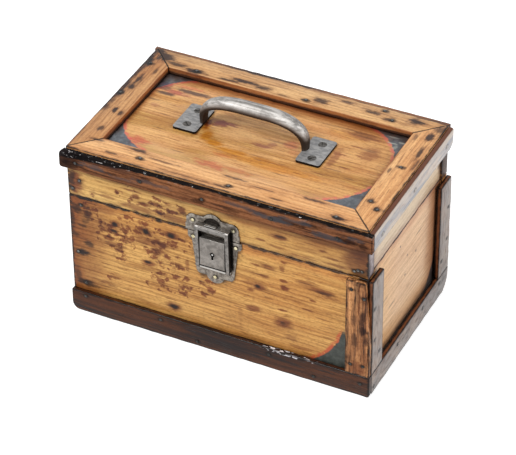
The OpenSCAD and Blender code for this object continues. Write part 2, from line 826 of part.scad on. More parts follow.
bottom_board();
front_board();
back_board();
left_end_board();
right_end_board();
front_rail();
front_stile();
end_rail();
end_stile_front();
end_stile_back();
board_nails();
strip_nails();
lid_top_board();
lid_front_board();
lid_back_board();
lid_left_board();
lid_right_board();
frame_front();
frame_back();
frame_left();
frame_right();
fascia_front();
fascia_right();
fascia_back();
fascia_left();
lid_nails();
frame_nails();
fascia_nails();
handle();
handle_screws();
catch_plate();
catch_nails();
lock_plate();
lock_plate_nails();
lock_case();
key_post();
lock_bolt();
bolt_spring();
lock_hasp();
hasp_pin();
hinge_body_leaf(-1);  // hinge_body_leaf_left
hinge_body_leaf(1);  // hinge_body_leaf_right
hinge_lid_leaf(-1);  // hinge_lid_leaf_left
hinge_lid_leaf(1);  // hinge_lid_leaf_right
hinge_pin(-1);  // hinge_pin_left
hinge_pin(1);  // hinge_pin_right
hinge_screws(-1);  // hinge_body_screws
hinge_screws(1);  // hinge_lid_screws
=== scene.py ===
# %% [markdown]
# # An old pine parts chest
# The chest is a nailed pine box with a hinged lid. Dark varnished strips are left round the lid and
# at the right front corner, a steel handle stands on the lid, and a hasp lock holds the front.
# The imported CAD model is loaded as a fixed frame: every board and plate that is modelled here takes
# its place and size from it, and moves with the same body.

# %% Load the frame
import math

import bmesh
import bpy
from mathutils import Matrix, Vector


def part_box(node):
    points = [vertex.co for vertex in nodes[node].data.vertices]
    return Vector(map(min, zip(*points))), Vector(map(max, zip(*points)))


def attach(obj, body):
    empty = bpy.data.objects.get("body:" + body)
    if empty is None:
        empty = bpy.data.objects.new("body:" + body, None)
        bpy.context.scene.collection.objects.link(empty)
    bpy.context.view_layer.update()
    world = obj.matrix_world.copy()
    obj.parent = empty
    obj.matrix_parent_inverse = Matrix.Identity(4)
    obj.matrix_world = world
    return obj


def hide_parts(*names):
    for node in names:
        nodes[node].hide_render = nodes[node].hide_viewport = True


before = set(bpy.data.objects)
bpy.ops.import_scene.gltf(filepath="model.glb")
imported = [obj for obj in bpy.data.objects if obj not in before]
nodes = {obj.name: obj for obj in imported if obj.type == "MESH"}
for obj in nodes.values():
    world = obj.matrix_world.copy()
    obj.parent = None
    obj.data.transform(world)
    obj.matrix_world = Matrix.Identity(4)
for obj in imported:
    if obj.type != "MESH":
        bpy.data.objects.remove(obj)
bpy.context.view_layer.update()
scene = bpy.context.scene
MM = 0.001
print("nodes:", len(nodes))

# %% [markdown]
# ## Camera
# The photograph was taken from above and a little to the right with a long lens. The camera is
# built from its place, its heading, its pitch and a small roll, so the lines of the box converge
# as they do in the photograph.

# %% Camera
CAMERA_PLACE = Vector((0.8634, -1.7477, 1.5526))
HEADING, PITCH, ROLL = math.radians(26.32), math.radians(37.09), math.radians(-0.57)
LENS = 183.37

ahead = Vector((-math.sin(HEADING) * math.cos(PITCH), math.cos(HEADING) * math.cos(PITCH), -math.sin(PITCH)))
level = Vector((math.cos(HEADING), math.sin(HEADING), 0))
upright = level.cross(ahead)
right = level * math.cos(ROLL) + upright * math.sin(ROLL)
up = upright * math.cos(ROLL) - level * math.sin(ROLL)
camera = bpy.data.objects.new("camera", bpy.data.cameras.new("camera"))
camera.data.lens = LENS
camera.data.sensor_width = 36
scene.collection.objects.link(camera)
camera.matrix_world = Matrix.Translation(CAMERA_PLACE) @ Matrix((right, up, -ahead)).transposed().to_4x4()
scene.camera = camera
scene.view_settings.view_transform = "Standard"
print("camera:", round(CAMERA_PLACE.length, 2), "m from the chest's foot")

# %% [markdown]
# ## Shader shorthand
# A finish is a chain of small nodes. Written out in full, each one takes three or four lines, and
# the recipe is lost among them. This little class adds a node, feeds it with numbers or with other
# nodes' outputs, and hands back its output, so that a finish reads like a sum.

# %% Shader shorthand
class Graph:
    """Short calls on a node tree: each takes numbers or sockets and returns an output socket."""

    def __init__(self, tree):
        self.tree = tree

    def add(self, kind, **settings):
        made = self.tree.nodes.new(kind)
        for name, value in settings.items():
            setattr(made, name, value)
        return made

    def feed(self, socket, value):
        if isinstance(value, bpy.types.NodeSocket):
            self.tree.links.new(value, socket)
        elif isinstance(value, (tuple, Vector)) and socket.type == "RGBA":
            socket.default_value = (*value[:3], 1)
        else:
            socket.default_value = value

    def math(self, operation, a, b=0.0):
        made = self.add("ShaderNodeMath", operation=operation)
        self.feed(made.inputs[0], a)
        self.feed(made.inputs[1], b)
        return made.outputs[0]

    def times(self, a, b):
        return self.math("MULTIPLY", a, b)

    def minus(self, a, b):
        return self.math("SUBTRACT", a, b)

    def plus(self, a, b, share=None):
        """The sum of a and b, or of a and a share of b."""
        return self.math("ADD", a, b if share is None else self.times(b, share))

    def vector(self, operation, a, b=(0, 0, 0)):
        made = self.add("ShaderNodeVectorMath", operation=operation)
        self.feed(made.inputs[0], a)
        self.feed(made.inputs[1], b)
        return made.outputs["Value" if operation == "LENGTH" else "Vector"]

    def scaled(self, vector, factors):
        return self.vector("MULTIPLY", vector, factors)

    def parts(self, vector):
        made = self.add("ShaderNodeSeparateXYZ")
        self.feed(made.inputs[0], vector)
        return made.outputs[0], made.outputs[1], made.outputs[2]

    def join(self, x, y, z):
        made = self.add("ShaderNodeCombineXYZ")
        for socket, value in zip(made.inputs, (x, y, z)):
            self.feed(socket, value)
        return made.outputs[0]

    def noise(self, vector, finer=(1, 1, 1), detail=2, roughness=0.5, warp=0.0, output=0):
        """Clouds, so many times finer along each axis. Output 1 gives them in colour."""
        made = self.add("ShaderNodeTexNoise")
        for name, value in (("Vector", self.scaled(vector, finer)), ("Scale", 1.0), ("Detail", detail),
                            ("Roughness", roughness), ("Distortion", warp)):
            self.feed(made.inputs[name], value)
        return made.outputs[output]

    def drift(self, vector, finer, size, detail=2):
        """Clouds of a size, to both sides of 0."""
        return self.times(self.minus(self.noise(vector, finer, detail), 0.5), size)

    def band(self, value, start, end, most=1.0):
        """A smooth step: 0 at start and the most at end, whichever of the two is the greater."""
        made = self.add("ShaderNodeMapRange", interpolation_type="SMOOTHSTEP")
        for name, part in (("Value", value), ("From Min", start), ("From Max", end), ("To Max", most)):
            self.feed(made.inputs[name], part)
        return made.outputs[0]

    def mix(self, factor, a, b, blend="MIX"):
        made = self.add("ShaderNodeMix", data_type="RGBA", blend_type=blend)
        self.feed(made.inputs["Factor"], factor)
        self.feed(made.inputs[6], a)
        self.feed(made.inputs[7], b)
        return made.outputs[2]

    def call(self, group, **inputs):
        """Places a node group. Its inputs are given by name, with _ for a space."""
        made = self.add("ShaderNodeGroup", node_tree=group)
        for name, value in inputs.items():
            self.feed(made.inputs[name.replace("_", " ")], value)
        return made.outputs

# %% Node groups with named sockets
SOCKETS = {float: "NodeSocketFloat", tuple: "NodeSocketVector"}
ZERO = (0.0, 0.0, 0.0)


def new_group(name, inputs, outputs):
    """A shader node group with named inputs, given with their starting values, and number outputs."""
    group = bpy.data.node_groups.new(name, "ShaderNodeTree")
    for label, start in inputs.items():
        socket = group.interface.new_socket(label, in_out="INPUT", socket_type=SOCKETS[type(start)])
        socket.default_value = start
    for label in outputs:
        group.interface.new_socket(label, in_out="OUTPUT", socket_type="NodeSocketFloat")
    graph = Graph(group)
    return graph, graph.add("NodeGroupInput").outputs, graph.add("NodeGroupOutput").inputs

# %% [markdown]
# ## How pine grows
# A board is cut from a trunk of yearly rings: each ring is pale in spring and ends in a thin dark
# summer line. Working the rings out in 3D, from the distance to the trunk's middle, makes a
# board's face, edge and end agree, as they do in real wood. Fine streaks and short pores follow the
# grain, and slow blotches vary the tone.

# %% Grain of the pine
def build_grain():
    g, i, o = new_group("Pine grain", {"Vector": ZERO, "Pith": ZERO, "Ring Width": 0.005},
                        ["Rings", "Streaks", "Blotches", "Pores", "Lines", "Fleck"])
    along = i["Vector"]
    wander = g.noise(along, (4, 14, 14))
    ripple = g.noise(along, (18, 120, 120))
    across = g.scaled(g.vector("SUBTRACT", along, i["Pith"]), (0, 1, 1))
    radius = g.plus(g.vector("LENGTH", across), wander, 0.017)
    radius = g.plus(radius, ripple, 0.0025)
    year = g.math("FRACT", g.math("DIVIDE", radius, i["Ring Width"]))
    summer = g.times(g.band(year, 0.45, 0.93), g.band(year, 1.0, 0.94))
    faint = g.band(g.noise(along, (13, 70, 70)), 0.3, 0.62)
    g.feed(o["Rings"], g.times(summer, g.plus(0.2, faint, 0.8)))
    g.feed(o["Streaks"], g.noise(along, (17, 400, 400), detail=3, roughness=0.6))
    g.feed(o["Blotches"], g.noise(along, (8, 34, 34), detail=5, roughness=0.6))
    g.feed(o["Pores"], g.band(g.noise(along, (48, 560, 560), detail=1), 0.62, 0.72))
    g.feed(o["Lines"], g.band(g.noise(along, (14, 300, 300), roughness=0.65), 0.6, 0.7))
    g.feed(o["Fleck"], g.noise(along, (330, 650, 650)))
    return g.tree


GRAIN = build_grain()
print("grain:", len(GRAIN.nodes), "nodes")

# %% [markdown]
# ## Wear and marks
# Old wood is darkest where hands and dirt reach: along its edges, round its nails and in spots.
# Four more groups give these masks. The first finds the distance to a board's nearest edge from
# its two corners, the second is one soft oval mark, the third scatters ragged rusty spots, and the
# fourth is the rounded corner of a painted border, which is left in places on this chest.

# %% Edges and marks
def build_edge_distance():
    g, i, o = new_group("Edge distance", {"Vector": ZERO, "Low": ZERO, "High": ZERO}, ["Distance"])
    inside = g.vector("MINIMUM", g.vector("SUBTRACT", i["Vector"], i["Low"]),
                      g.vector("SUBTRACT", i["High"], i["Vector"]))
    x, y, z = g.parts(inside)
    middle = g.math("MINIMUM", g.math("MAXIMUM", x, y), z)
    g.feed(o["Distance"], g.math("MAXIMUM", g.math("MINIMUM", x, y), middle))
    return g.tree


def build_mark():
    g, i, o = new_group("Mark", {"Vector": ZERO, "Centre": ZERO, "Size": (1.0, 1.0, 1.0), "Ragged": 0.0},
                        ["Mask"])
    offset = g.vector("DIVIDE", g.vector("SUBTRACT", i["Vector"], i["Centre"]), i["Size"])
    reach = g.plus(g.vector("LENGTH", offset), i["Ragged"])
    g.feed(o["Mask"], g.band(reach, 1.0, 0.35))
    return g.tree

# %% Spots and painted corners
def build_spots():
    g, i, o = new_group("Spots", {"Vector": ZERO, "Size": 0.4}, ["Mask"])
    bend = g.noise(i["Vector"], (260, 260, 260), output=1)
    bent = g.vector("ADD", i["Vector"], g.scaled(bend, (0.008, 0.008, 0.008)))
    cells = g.add("ShaderNodeTexVoronoi")
    g.feed(cells.inputs["Vector"], g.scaled(bent, (118, 172, 172)))
    g.feed(cells.inputs["Scale"], 1.0)
    reach = g.times(g.band(cells.outputs["Color"], 0.0, 0.6), i["Size"])
    mask = g.band(cells.outputs["Distance"], reach, g.times(reach, 0.45))
    g.feed(o["Mask"], g.times(mask, g.band(reach, 0.08, 0.2)))
    return g.tree


def build_painted_corner():
    g, i, o = new_group(
        "Painted corner", {"Vector": ZERO, "Centre": ZERO, "Toward": (1.0, 1.0, 0.0), "Radius": 0.06,
                           "Ragged": 0.0}, ["Field", "Line"])
    offset = g.scaled(g.vector("SUBTRACT", i["Vector"], i["Centre"]), i["Toward"])
    radius = g.plus(g.vector("LENGTH", offset), i["Ragged"], 0.004)
    beyond = g.minus(radius, i["Radius"])
    a, b = g.parts(offset)[:2]
    inner = g.times(i["Radius"], 0.18)
    outer = g.times(i["Radius"], 0.3)
    inside = g.times(g.band(a, inner, outer), g.band(b, inner, outer))
    g.feed(o["Field"], g.band(beyond, 0.0, 0.0008, inside))
    line = g.times(g.band(beyond, -0.0036, -0.001), g.band(beyond, 0.0014, 0.0004))
    g.feed(o["Line"], g.times(line, inside))
    return g.tree


EDGE_DISTANCE = build_edge_distance()
MARK = build_mark()
SPOTS = build_spots()
PAINTED_CORNER = build_painted_corner()
print("node groups:", len(bpy.data.node_groups))

# %% [markdown]
# ## A finish for each board
# The wood materials share one recipe. Grain, streaks and blotches mix a light and a dark tone,
# paint, spots and marks go over them, and grime gathers at the edges. The Principled BSDF stays in
# the material, with a thin worn coat of lacquer. Marks are ovals on one face of the board, given in
# millimetres by their middle, their half sizes and their strength.

# %% Faces and stain tones
TURNED = {"X": (0, 1, 2), "Y": (1, 0, 2), "Z": (2, 1, 0)}
# For each face: the two axes along it, the axis through it, and whether it is the box's high side
FACES = {"front": (0, 2, 1, 0), "back": (0, 2, 1, 1), "top": (0, 1, 2, 1),
         "right": (1, 2, 0, 1), "left": (1, 2, 0, 0)}
MARK_DEPTH = 7 * MM
GRIME_AND_SHADE = (0.012, 0.008, 0.006)
# Stains are given as what they leave of the wood's red, green and blue
EDGE_GRIME_AND_SHADE = (0.03, 0.018, 0.02)
# A near-black tint, for burns, knots, pinholes and painted shade round the lock
DARK_TINT = (0.05, 0.035, 0.06)
BROWN = (0.32, 0.16, 0.14)

# %% Materials and marks
def new_material(name):
    material = bpy.data.materials.new(name)
    material.use_nodes = True
    graph = Graph(material.node_tree)
    shader = material.node_tree.nodes["Principled BSDF"]
    place = graph.add("ShaderNodeTexCoord").outputs["Object"]
    return material, graph, shader, place


def turned(g, place, axis):
    """The place with the grain's direction first."""
    parts = g.parts(place)
    return g.join(*[parts[k] for k in TURNED[axis]])


def add_marks(g, place, face, corners, marks, ragged):
    """The strongest of several oval marks on one face."""
    a_axis, b_axis, through, side = FACES[face]
    total = 0.0
    for a, b, half_a, half_b, strength in marks:
        centre = [corners[side][through]] * 3
        size = [MARK_DEPTH] * 3
        centre[a_axis], centre[b_axis] = a * MM, b * MM
        size[a_axis], size[b_axis] = half_a * MM, half_b * MM
        mask = g.call(MARK, Vector=place, Centre=tuple(centre), Size=tuple(size), Ragged=ragged)["Mask"]
        total = g.math("MAXIMUM", total, g.times(mask, strength))
    return total

# %% Stains and relief
def stain(g, mask, colour, tint):
    """Darkens a colour as a stain does: the wood's own tone shines through it."""
    return g.mix(mask, colour, tint, "MULTIPLY")


def coats(g, colour, *rows, blend="MULTIPLY"):
    """Lays one stain over another. A row is a value, the start and end of its smooth step, the most
    that it covers, and the tint. With the blend MIX they cover as paint does."""
    for value, start, end, most, tint in rows:
        colour = g.mix(g.band(value, start, end, most), colour, tint, blend)
    return colour


def bump(g, shader, height, strength, distance=0.0006):
    made = g.add("ShaderNodeBump")
    g.feed(made.inputs["Strength"], strength)
    g.feed(made.inputs["Distance"], distance)
    g.feed(made.inputs["Height"], height)
    g.feed(shader.inputs["Normal"], made.outputs[0])

# %% Wood
def wood(name, corners, light, warm, dark, axis="X", pith=(0, -0.05, -0.2), ring=0.0045, contrast=1.0,
         fine=1.0, patch=None, edge=1.5, glow=None, paint=None, stains=(), layers=(), glints=None,
         roughness=0.42, coat=0.1, specular=0.25, gloss=0.16, relief=0.35):
    """Pine between two corners. Edge is the width of the dark line along its edges, in mm. Patch is
    a tone with its strength, glow tints the wood near the edges, and stains and layers are rows of a
    face, a tone, how torn its marks are, and the marks."""
    material, g, shader, place = new_material(name)
    along = turned(g, place, axis)
    grain = g.call(GRAIN, Vector=along, Pith=pith, Ring_Width=ring)
    colour = g.mix(g.band(grain["Blotches"], 0.3, 0.68), light, warm)
    pale = tuple(min(1.25 * v, 1.0) for v in light)
    colour = g.mix(g.band(grain["Streaks"], 0.5, 0.3, 0.5 * contrast * fine), colour, pale)
    colour = g.mix(g.times(grain["Rings"], 0.42 * contrast), colour, dark)
    colour = g.mix(g.band(grain["Streaks"], 0.5, 0.72, 0.6 * contrast * fine), colour, dark)
    colour = g.mix(g.times(grain["Lines"], 0.55 * contrast * fine), colour, dark)
    colour = stain(g, g.times(grain["Pores"], 0.6 * contrast), colour, (0.4, 0.3, 0.25))
    colour = stain(g, g.band(grain["Fleck"], 0.45, 0.7, 0.5 * contrast), colour, (0.6, 0.5, 0.45))
    if patch:
        smear = g.plus(grain["Blotches"], grain["Streaks"], 0.5)
        colour = g.mix(g.band(smear, 0.74, 0.94, patch[1]), colour, patch[0])
    ragged = g.minus(g.noise(along, (110, 260, 260), detail=4, roughness=0.6), 0.5)
    low, high = corners
    distance = g.call(EDGE_DISTANCE, Vector=place, Low=tuple(low), High=tuple(high))["Distance"]
    if glow:
        near = g.plus(distance, g.minus(grain["Blotches"], 0.5), 0.05)
        colour = stain(g, g.band(near, 0.012, 0.0, 0.7), colour, glow)
    if paint:
        colour = paint(g, place, colour, ragged)
    for rows, blend in ((stains, "MULTIPLY"), (layers, "MIX")):
        for face, tint, torn, marks in rows:
            mask = add_marks(g, place, face, corners, marks, g.times(ragged, torn))
            colour = g.mix(mask, colour, tint, blend)
    worn = g.plus(distance, ragged, 2.2 * edge * MM)
    colour = stain(g, g.band(worn, edge * MM, 0.1 * edge * MM, 0.94), colour, EDGE_GRIME_AND_SHADE)
    g.feed(shader.inputs["Base Color"], colour)
    g.feed(shader.inputs["Roughness"], g.plus(roughness - 0.1, grain["Streaks"], 0.2))
    plain = {"Specular IOR Level": specular, "Coat Weight": coat, "Coat Roughness": gloss}
    for socket, value in plain.items():
        shader.inputs[socket].default_value = value
    if glints:
        g.feed(shader.inputs["Coat Weight"], glints(g, place))
    height = g.plus(g.times(grain["Streaks"], -0.6), grain["Pores"], -1.0)
    bump(g, shader, g.plus(height, ragged, 0.5), relief)
    return material

# %% [markdown]
# ## Where the nails are
# Every nail leaves a dark ring in the wood round its head, where iron and damp have met. The nails
# are CAD parts, so their places are read from the frame: the loose parts of a node are sorted out,
# and those whose heads stand just proud of a board's face give that board its stains.

# %% Nail places
def loose_boxes(node):
    """The lowest and highest corner of each loose part of a CAD node."""
    mesh = bmesh.new()
    mesh.from_mesh(nodes[node].data)
    bmesh.ops.remove_doubles(mesh, verts=mesh.verts, dist=1e-6)
    left = set(mesh.verts)
    boxes = []
    while left:
        part = [left.pop()]
        for vert in part:
            near = {edge.other_vert(vert) for edge in vert.link_edges} & left
            left -= near
            part.extend(near)
        boxes.append([[pick_end(v.co[k] for v in part) for k in range(3)] for pick_end in (min, max)])
    mesh.free()
    return sorted(boxes)


NAILS = [box for node in nodes if node.endswith("nails") for box in loose_boxes(node)]
HEAD_PROUD = (0.0001, 0.001)


def nail_stains(face, corners, reach=3.2, strength=0.75):
    """A dark mark round each nail whose head lies on a face of a board."""
    a_axis, b_axis, through, side = FACES[face]
    sign = 2 * side - 1
    stains = []
    for box in NAILS:
        middle = [(low + high) / 2 for low, high in zip(*box)]
        proud = sign * (box[side][through] - corners[side][through])
        inside = all(corners[0][k] < middle[k] < corners[1][k] for k in (a_axis, b_axis))
        if inside and HEAD_PROUD[0] < proud < HEAD_PROUD[1]:
            stains.append((middle[a_axis] / MM, middle[b_axis] / MM, 1.5 * reach, reach, strength))
    return stains


print("nails:", len(NAILS))

# %% [markdown]
# ## Modelling a worn board
# A real board is never a sharp block. Each one starts as a cube of its own size, is cut across into
# short lengths, gets its edges rounded, and is then nibbled along those edges by a cloud texture, so
# that its outline wanders a little, as sanding and knocks leave it. The operators act on what is
# selected, so the edges are picked in code first.

# %% Sizes of the wear
CUT_STEP = 6 * MM
WEAR_SIZE = 9 * MM
SHARP = math.radians(40)
SMOOTH = math.radians(35)


def take(piece):
    bpy.ops.object.select_all(action="DESELECT")
    bpy.context.view_layer.objects.active = piece
    piece.select_set(True)


def start_cube(name, low, high):
    bpy.ops.object.select_all(action="DESELECT")
    bpy.ops.mesh.primitive_cube_add(size=1, location=(low + high) / 2, scale=high - low)
    piece = bpy.context.object
    piece.name = name
    piece.data.name = name
    bpy.ops.object.transform_apply(location=True, rotation=True, scale=True)
    return piece

# %% Selecting and cutting
def pick(piece, kind, test):
    """Opens edit mode with only the vertices, edges or faces that pass a test selected."""
    take(piece)
    bpy.ops.object.mode_set(mode="EDIT")
    bpy.ops.mesh.select_mode(type="VERT")
    bpy.ops.mesh.select_all(action="DESELECT")
    bpy.ops.mesh.select_mode(type=kind)
    mesh = bmesh.from_edit_mesh(piece.data)
    for item in {"VERT": mesh.verts, "EDGE": mesh.edges, "FACE": mesh.faces}[kind]:
        if test(item):
            item.select_set(True)
    mesh.select_flush_mode()
    bmesh.update_edit_mesh(piece.data)


def close_edit():
    bpy.ops.object.mode_set(mode="OBJECT")


def slice_off(piece, point, outward):
    """Cuts a piece with a plane, removes what lies beyond it and closes the cut."""
    pick(piece, "FACE", lambda face: True)
    bpy.ops.mesh.bisect(plane_co=point, plane_no=outward, use_fill=True, clear_outer=True)
    close_edit()


def round_corner(piece, centre, toward, radius, steps=5):
    """Rounds a corner by cuts that touch an arc. Toward gives the corner's two directions."""
    first, second = [Vector(v) for v in toward]
    for k in range(steps):
        angle = math.radians(90 * (k + 0.5) / steps)
        outward = first * math.cos(angle) + second * math.sin(angle)
        slice_off(piece, Vector(centre) + outward * radius, outward)

# %% Rounding and wear
def round_edges(piece, width):
    """Rounds every sharp edge, and names the new strip of vertices worn."""
    pick(piece, "EDGE", lambda edge: edge.calc_face_angle(0) > SHARP)
    bpy.ops.mesh.bevel(offset=width, segments=3, affect="EDGES", clamp_overlap=True)
    bpy.ops.object.vertex_group_assign_new()
    piece.vertex_groups[-1].name = "worn"
    close_edit()


def nibble(piece, depth, size):
    """Presses the worn vertices inwards by up to a depth, in clouds of a size."""
    clouds = bpy.data.textures.new(piece.name + " wear", "CLOUDS")
    clouds.noise_scale = size
    clouds.noise_depth = 2
    wear = piece.modifiers.new("wear", "DISPLACE")
    wear.texture = clouds
    wear.texture_coords = "GLOBAL"
    wear.vertex_group = "worn"
    wear.mid_level = 0.35
    wear.strength = -depth
    take(piece)
    bpy.ops.object.modifier_apply(modifier=wear.name)


def finish_piece(piece, material, body, node):
    """Shades a piece, gives it its finish, and hands it to the frame in place of a CAD node."""
    take(piece)
    bpy.ops.object.shade_smooth_by_angle(angle=SMOOTH)
    piece.data.materials.clear()
    piece.data.materials.append(material)
    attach(piece, body)
    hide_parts(node)

# %% A whole board
def board(node, along, edge=0.7, depth=0.8, shape=None):
    """A rounded, worn board in a CAD node's place. Shape may change the block before it is worn."""
    low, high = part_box(node)
    piece = start_cube("worn_" + node, low, high)
    cuts = int((high - low)[along] / CUT_STEP)

    def is_long(edge):
        d = edge.verts[1].co - edge.verts[0].co
        return abs(d[along]) > 0.99 * d.length

    pick(piece, "EDGE", is_long)
    bpy.ops.mesh.subdivide(number_cuts=cuts)
    close_edit()
    if shape:
        shape(piece, low, high)
    round_edges(piece, edge * MM)
    nibble(piece, depth * MM, WEAR_SIZE)
    return piece


PINE_BODY = {"light": (0.73, 0.42, 0.128), "warm": (0.55, 0.25, 0.062), "dark": (0.22, 0.072, 0.013)}
NAIL_RING = (0.04, 0.03, 0.04)


def plain_board(node, along, body, slot="pine", shape=None, **finish):
    """Models one board, with stains round its nails on all faces, and finishes it."""
    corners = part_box(node)
    for face in FACES:
        rings = nail_stains(face, corners)
        if rings:
            finish["stains"] = [*finish.get("stains", ()), (face, NAIL_RING, 1.2, rings)]
    finish.setdefault("axis", "XYZ"[along])
    piece = board(node, along, shape=shape)
    material = wood(node.replace("_", " ") + " finish", corners, **{**PINE_BODY, **finish})
    finish_piece(piece, material, body, node)
    print(piece.name, len(piece.data.vertices), "vertices")

# %% [markdown]
# ## Front board of the box
# The front board is the showpiece: warm lacquered pine with knots, a spatter of rusty spots on its
# left half, a darker glow where old finish is left along its edges, and one painted corner, a grey
# field behind a red line. The larger marks are listed one by one, by their place along and up the board.

# %% Marks of the front board
KNOTS = [
    (-103, 110, 4, 3.6, 1), (-104, 102, 4.5, 2.6, 0.9), (-71, 112, 4.5, 4.4, 1), (-45, 116, 6, 4, 1),
    (-57, 128, 5, 2.4, 0.9), (-70, 77, 5.5, 2.6, 0.95), (-44, 34, 7, 4, 1), (42, 87, 4, 2.8, 0.95),
    (108, 101, 13, 2.6, 0.6), (67, 53, 4, 3, 0.6),
]
HALOS = [
    (-64, 101, 26, 7, 0.75), (-108, 104, 16, 8, 0.6), (-112, 122, 20, 5, 0.6), (-105, 86, 16, 5, 0.7),
    (-103, 110, 8, 6, 0.8), (-104, 102, 8, 5, 0.7), (-71, 112, 8, 7, 0.7), (-45, 116, 12, 6.5, 0.9),
    (-69, 76, 11, 5, 0.9), (-44, 34, 12, 7, 0.8), (44, 87, 11, 5.5, 0.9), (34, 88, 12, 3, 0.6),
    (104, 102, 18, 4.5, 0.85), (90, 105, 13, 6, 0.5), (67, 53, 13, 9, 0.9), (38, 60, 10, 6, 0.85),
    (52, 112, 10, 4, 0.8), (-58, 94, 12, 3.5, 0.8),
]
BURNS = [
    (-112, 130, 48, 2.6, 0.85), (148, 126, 10, 8, 0.9),
    (-143, 116, 11, 7, 0.8), (-131, 112, 5, 10, 0.6), (-134, 103, 6, 5, 0.5), (-138, 97, 6, 2.6, 0.7),
    (-139, 66, 11, 5, 1), (-131, 78, 7, 4, 0.8), (-147, 86, 8, 4, 0.7), (-136, 31, 15, 5, 0.85),
    (-148, 104, 4, 24, 0.7), (-150, 60, 3, 70, 0.7), (-145, 40, 5, 10, 0.6),
]
LOCK_SHADOW = [(0, 116, 29, 14, 0.9), (0, 100, 26, 24, 0.85), (0, 86, 22, 11, 0.7)]
SPLASHES = [
    (40, 111, 5.5, 1.8, 0.85), (68, 122, 5.5, 2.4, 0.9), (66, 115, 3.5, 4.5, 0.7), (68, 102, 5.5, 2.3, 0.9),
    (69, 94, 5.5, 4, 1), (47, 101, 8, 2, 0.8), (35, 81, 4.8, 2.4, 0.8), (97, 89, 4.5, 1.9, 0.9),
    (92, 77, 8, 1.6, 0.85), (67, 68, 9, 1.7, 0.9), (75, 39, 9, 4, 0.5), (-92, 98, 4, 9, 0.8),
    (-118, 108, 3.4, 6, 0.9), (-111, 92, 8, 4, 0.9), (-62, 92, 7, 5, 0.9), (-60, 104, 5, 5, 0.85),
    (-99, 82, 5, 4, 0.8), (-29, 88, 3, 10, 0.6), (-38, 84, 6, 4, 0.8), (-78, 98, 9, 2.5, 0.6),
    (-105, 47, 6, 3.5, 0.7), (-115, 38, 11, 4, 0.6), (112, 98, 12, 3, 0.6), (85, 30, 12, 3, 0.5),
    (24, 46, 3, 16, 0.3),
]
RUST_ZONES = [
    (-108, 96, 17, 18, 1), (-91, 94, 10, 17, 1), (-56, 107, 18, 12, 1), (-60, 91, 15, 9, 1),
    (-44, 84, 19, 14, 1), (-58, 56, 18, 11, 1), (-37, 62, 18, 16, 1), (-9, 70, 12, 19, 0.9),
    (-98, 78, 12, 9, 0.8), (-128, 116, 10, 13, 0.8), (-108, 47, 8, 6, 0.8), (-75, 120, 30, 8, 0.7),
    (-32, 108, 10, 12, 0.7), (-78, 112, 20, 9, 0.8), (-56, 64, 14, 8, 0.7),
]
RUST = (0.3, 0.13, 0.12)
CORNER_GREY = (0.042, 0.048, 0.042)
OUTLINE_RED = (0.5, 0.075, 0.03)
FRONT_SKIN = (-0.0882, -0.0887)
print("marks on the front board:", len(KNOTS + HALOS + BURNS + LOCK_SHADOW + SPLASHES))

# %% Paint and rust
def painted_corners(g, place, colour, ragged, corners, turn, skin, line=0.9, grey=CORNER_GREY,
                    red=OUTLINE_RED):
    """Paints grey corners with a red edge. Each is a middle, a direction and a radius, in mm.
    Turn gives the two axes along the face and the one through it, and skin where the face starts."""
    parts = g.parts(place)
    on_face = g.band(parts[turn[2]], *skin)
    flat = g.join(parts[turn[0]], parts[turn[1]], 0.0)
    mottled = g.noise(place, (170, 170, 170), detail=5, roughness=0.65)
    field = g.mix(g.band(mottled, 0.38, 0.66), grey, tuple(1.8 * v for v in grey))
    for a, b, toward_a, toward_b, radius in corners:
        masks = g.call(PAINTED_CORNER, Vector=flat, Centre=(a * MM, b * MM, 0), Radius=radius * MM,
                       Toward=(toward_a, toward_b, 0), Ragged=ragged)
        colour = g.mix(g.times(masks["Field"], on_face), colour, field)
        broken = g.times(masks["Line"], g.band(mottled, 0.36, 0.56))
        colour = g.mix(g.times(broken, g.times(on_face, line)), colour, red)
    return colour


def rusty(g, place, colour, face, corners, zones, size=0.75):
    """Ragged rusty spots inside some soft zones of a face."""
    drift = g.noise(place, (70, 70, 70), detail=3)
    zone = add_marks(g, place, face, corners, zones, g.minus(drift, 0.6))
    mask = g.call(SPOTS, Vector=place, Size=g.band(zone, 0.0, 0.45, size))["Mask"]
    return stain(g, g.times(mask, 0.9), colour, RUST)


def paint_front(g, place, colour, ragged):
    """The left end is browner, with rust over it, and the right foot has a painted corner."""
    reach = g.plus(g.parts(place)[0], g.drift(place, (30, 30, 30), 0.06, 3))
    colour = stain(g, g.band(reach, -0.1, -0.148, 0.9), colour, (0.38, 0.22, 0.18))
    colour = rusty(g, place, colour, "front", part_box("front_board"), RUST_ZONES)
    return painted_corners(g, place, colour, ragged, [(60, 80, 1, -1, 67.5)], (0, 2, 1), FRONT_SKIN)


plain_board("front_board", 0, "box", glow=(0.8, 0.55, 0.42), paint=paint_front, roughness=0.4, edge=3.0,
            stains=[("front", BROWN, 1.0, HALOS), ("front", BROWN, 2.0, SPLASHES),
                    ("front", DARK_TINT, 0.9, KNOTS), ("front", DARK_TINT, 2.0, BURNS + LOCK_SHADOW)])

# %% [markdown]
# ## The other boards of the box
# The ends stand between the front and the back, and show the long boards' end grain at the corners.
# The right end is painted paler than the front, partly as a sheen of the light from the right. It has
# faint remains of two painted corners, and small pinholes. The bottom, the back and the left end
# aren't in the photograph, and are finished as plainer boards of the same chest.

# %% Other boards of the box
PINHOLES = [(-13, 114, 2.2, 1.8, 0.9), (24, 84, 2, 1.6, 0.9), (4, 93, 2, 1.6, 0.8), (0, 73, 2, 1.6, 0.8),
            (-30, 60, 9, 1.6, 0.5), (30, 102, 10, 1.5, 0.45), (-48, 76, 12, 1.5, 0.4)]
END_CORNERS = [(14, 68, 1, -1, 57), (-20, 62, -1, -1, 52)]
END_GREY, END_RED = (0.034, 0.024, 0.022), (0.3, 0.1, 0.06)
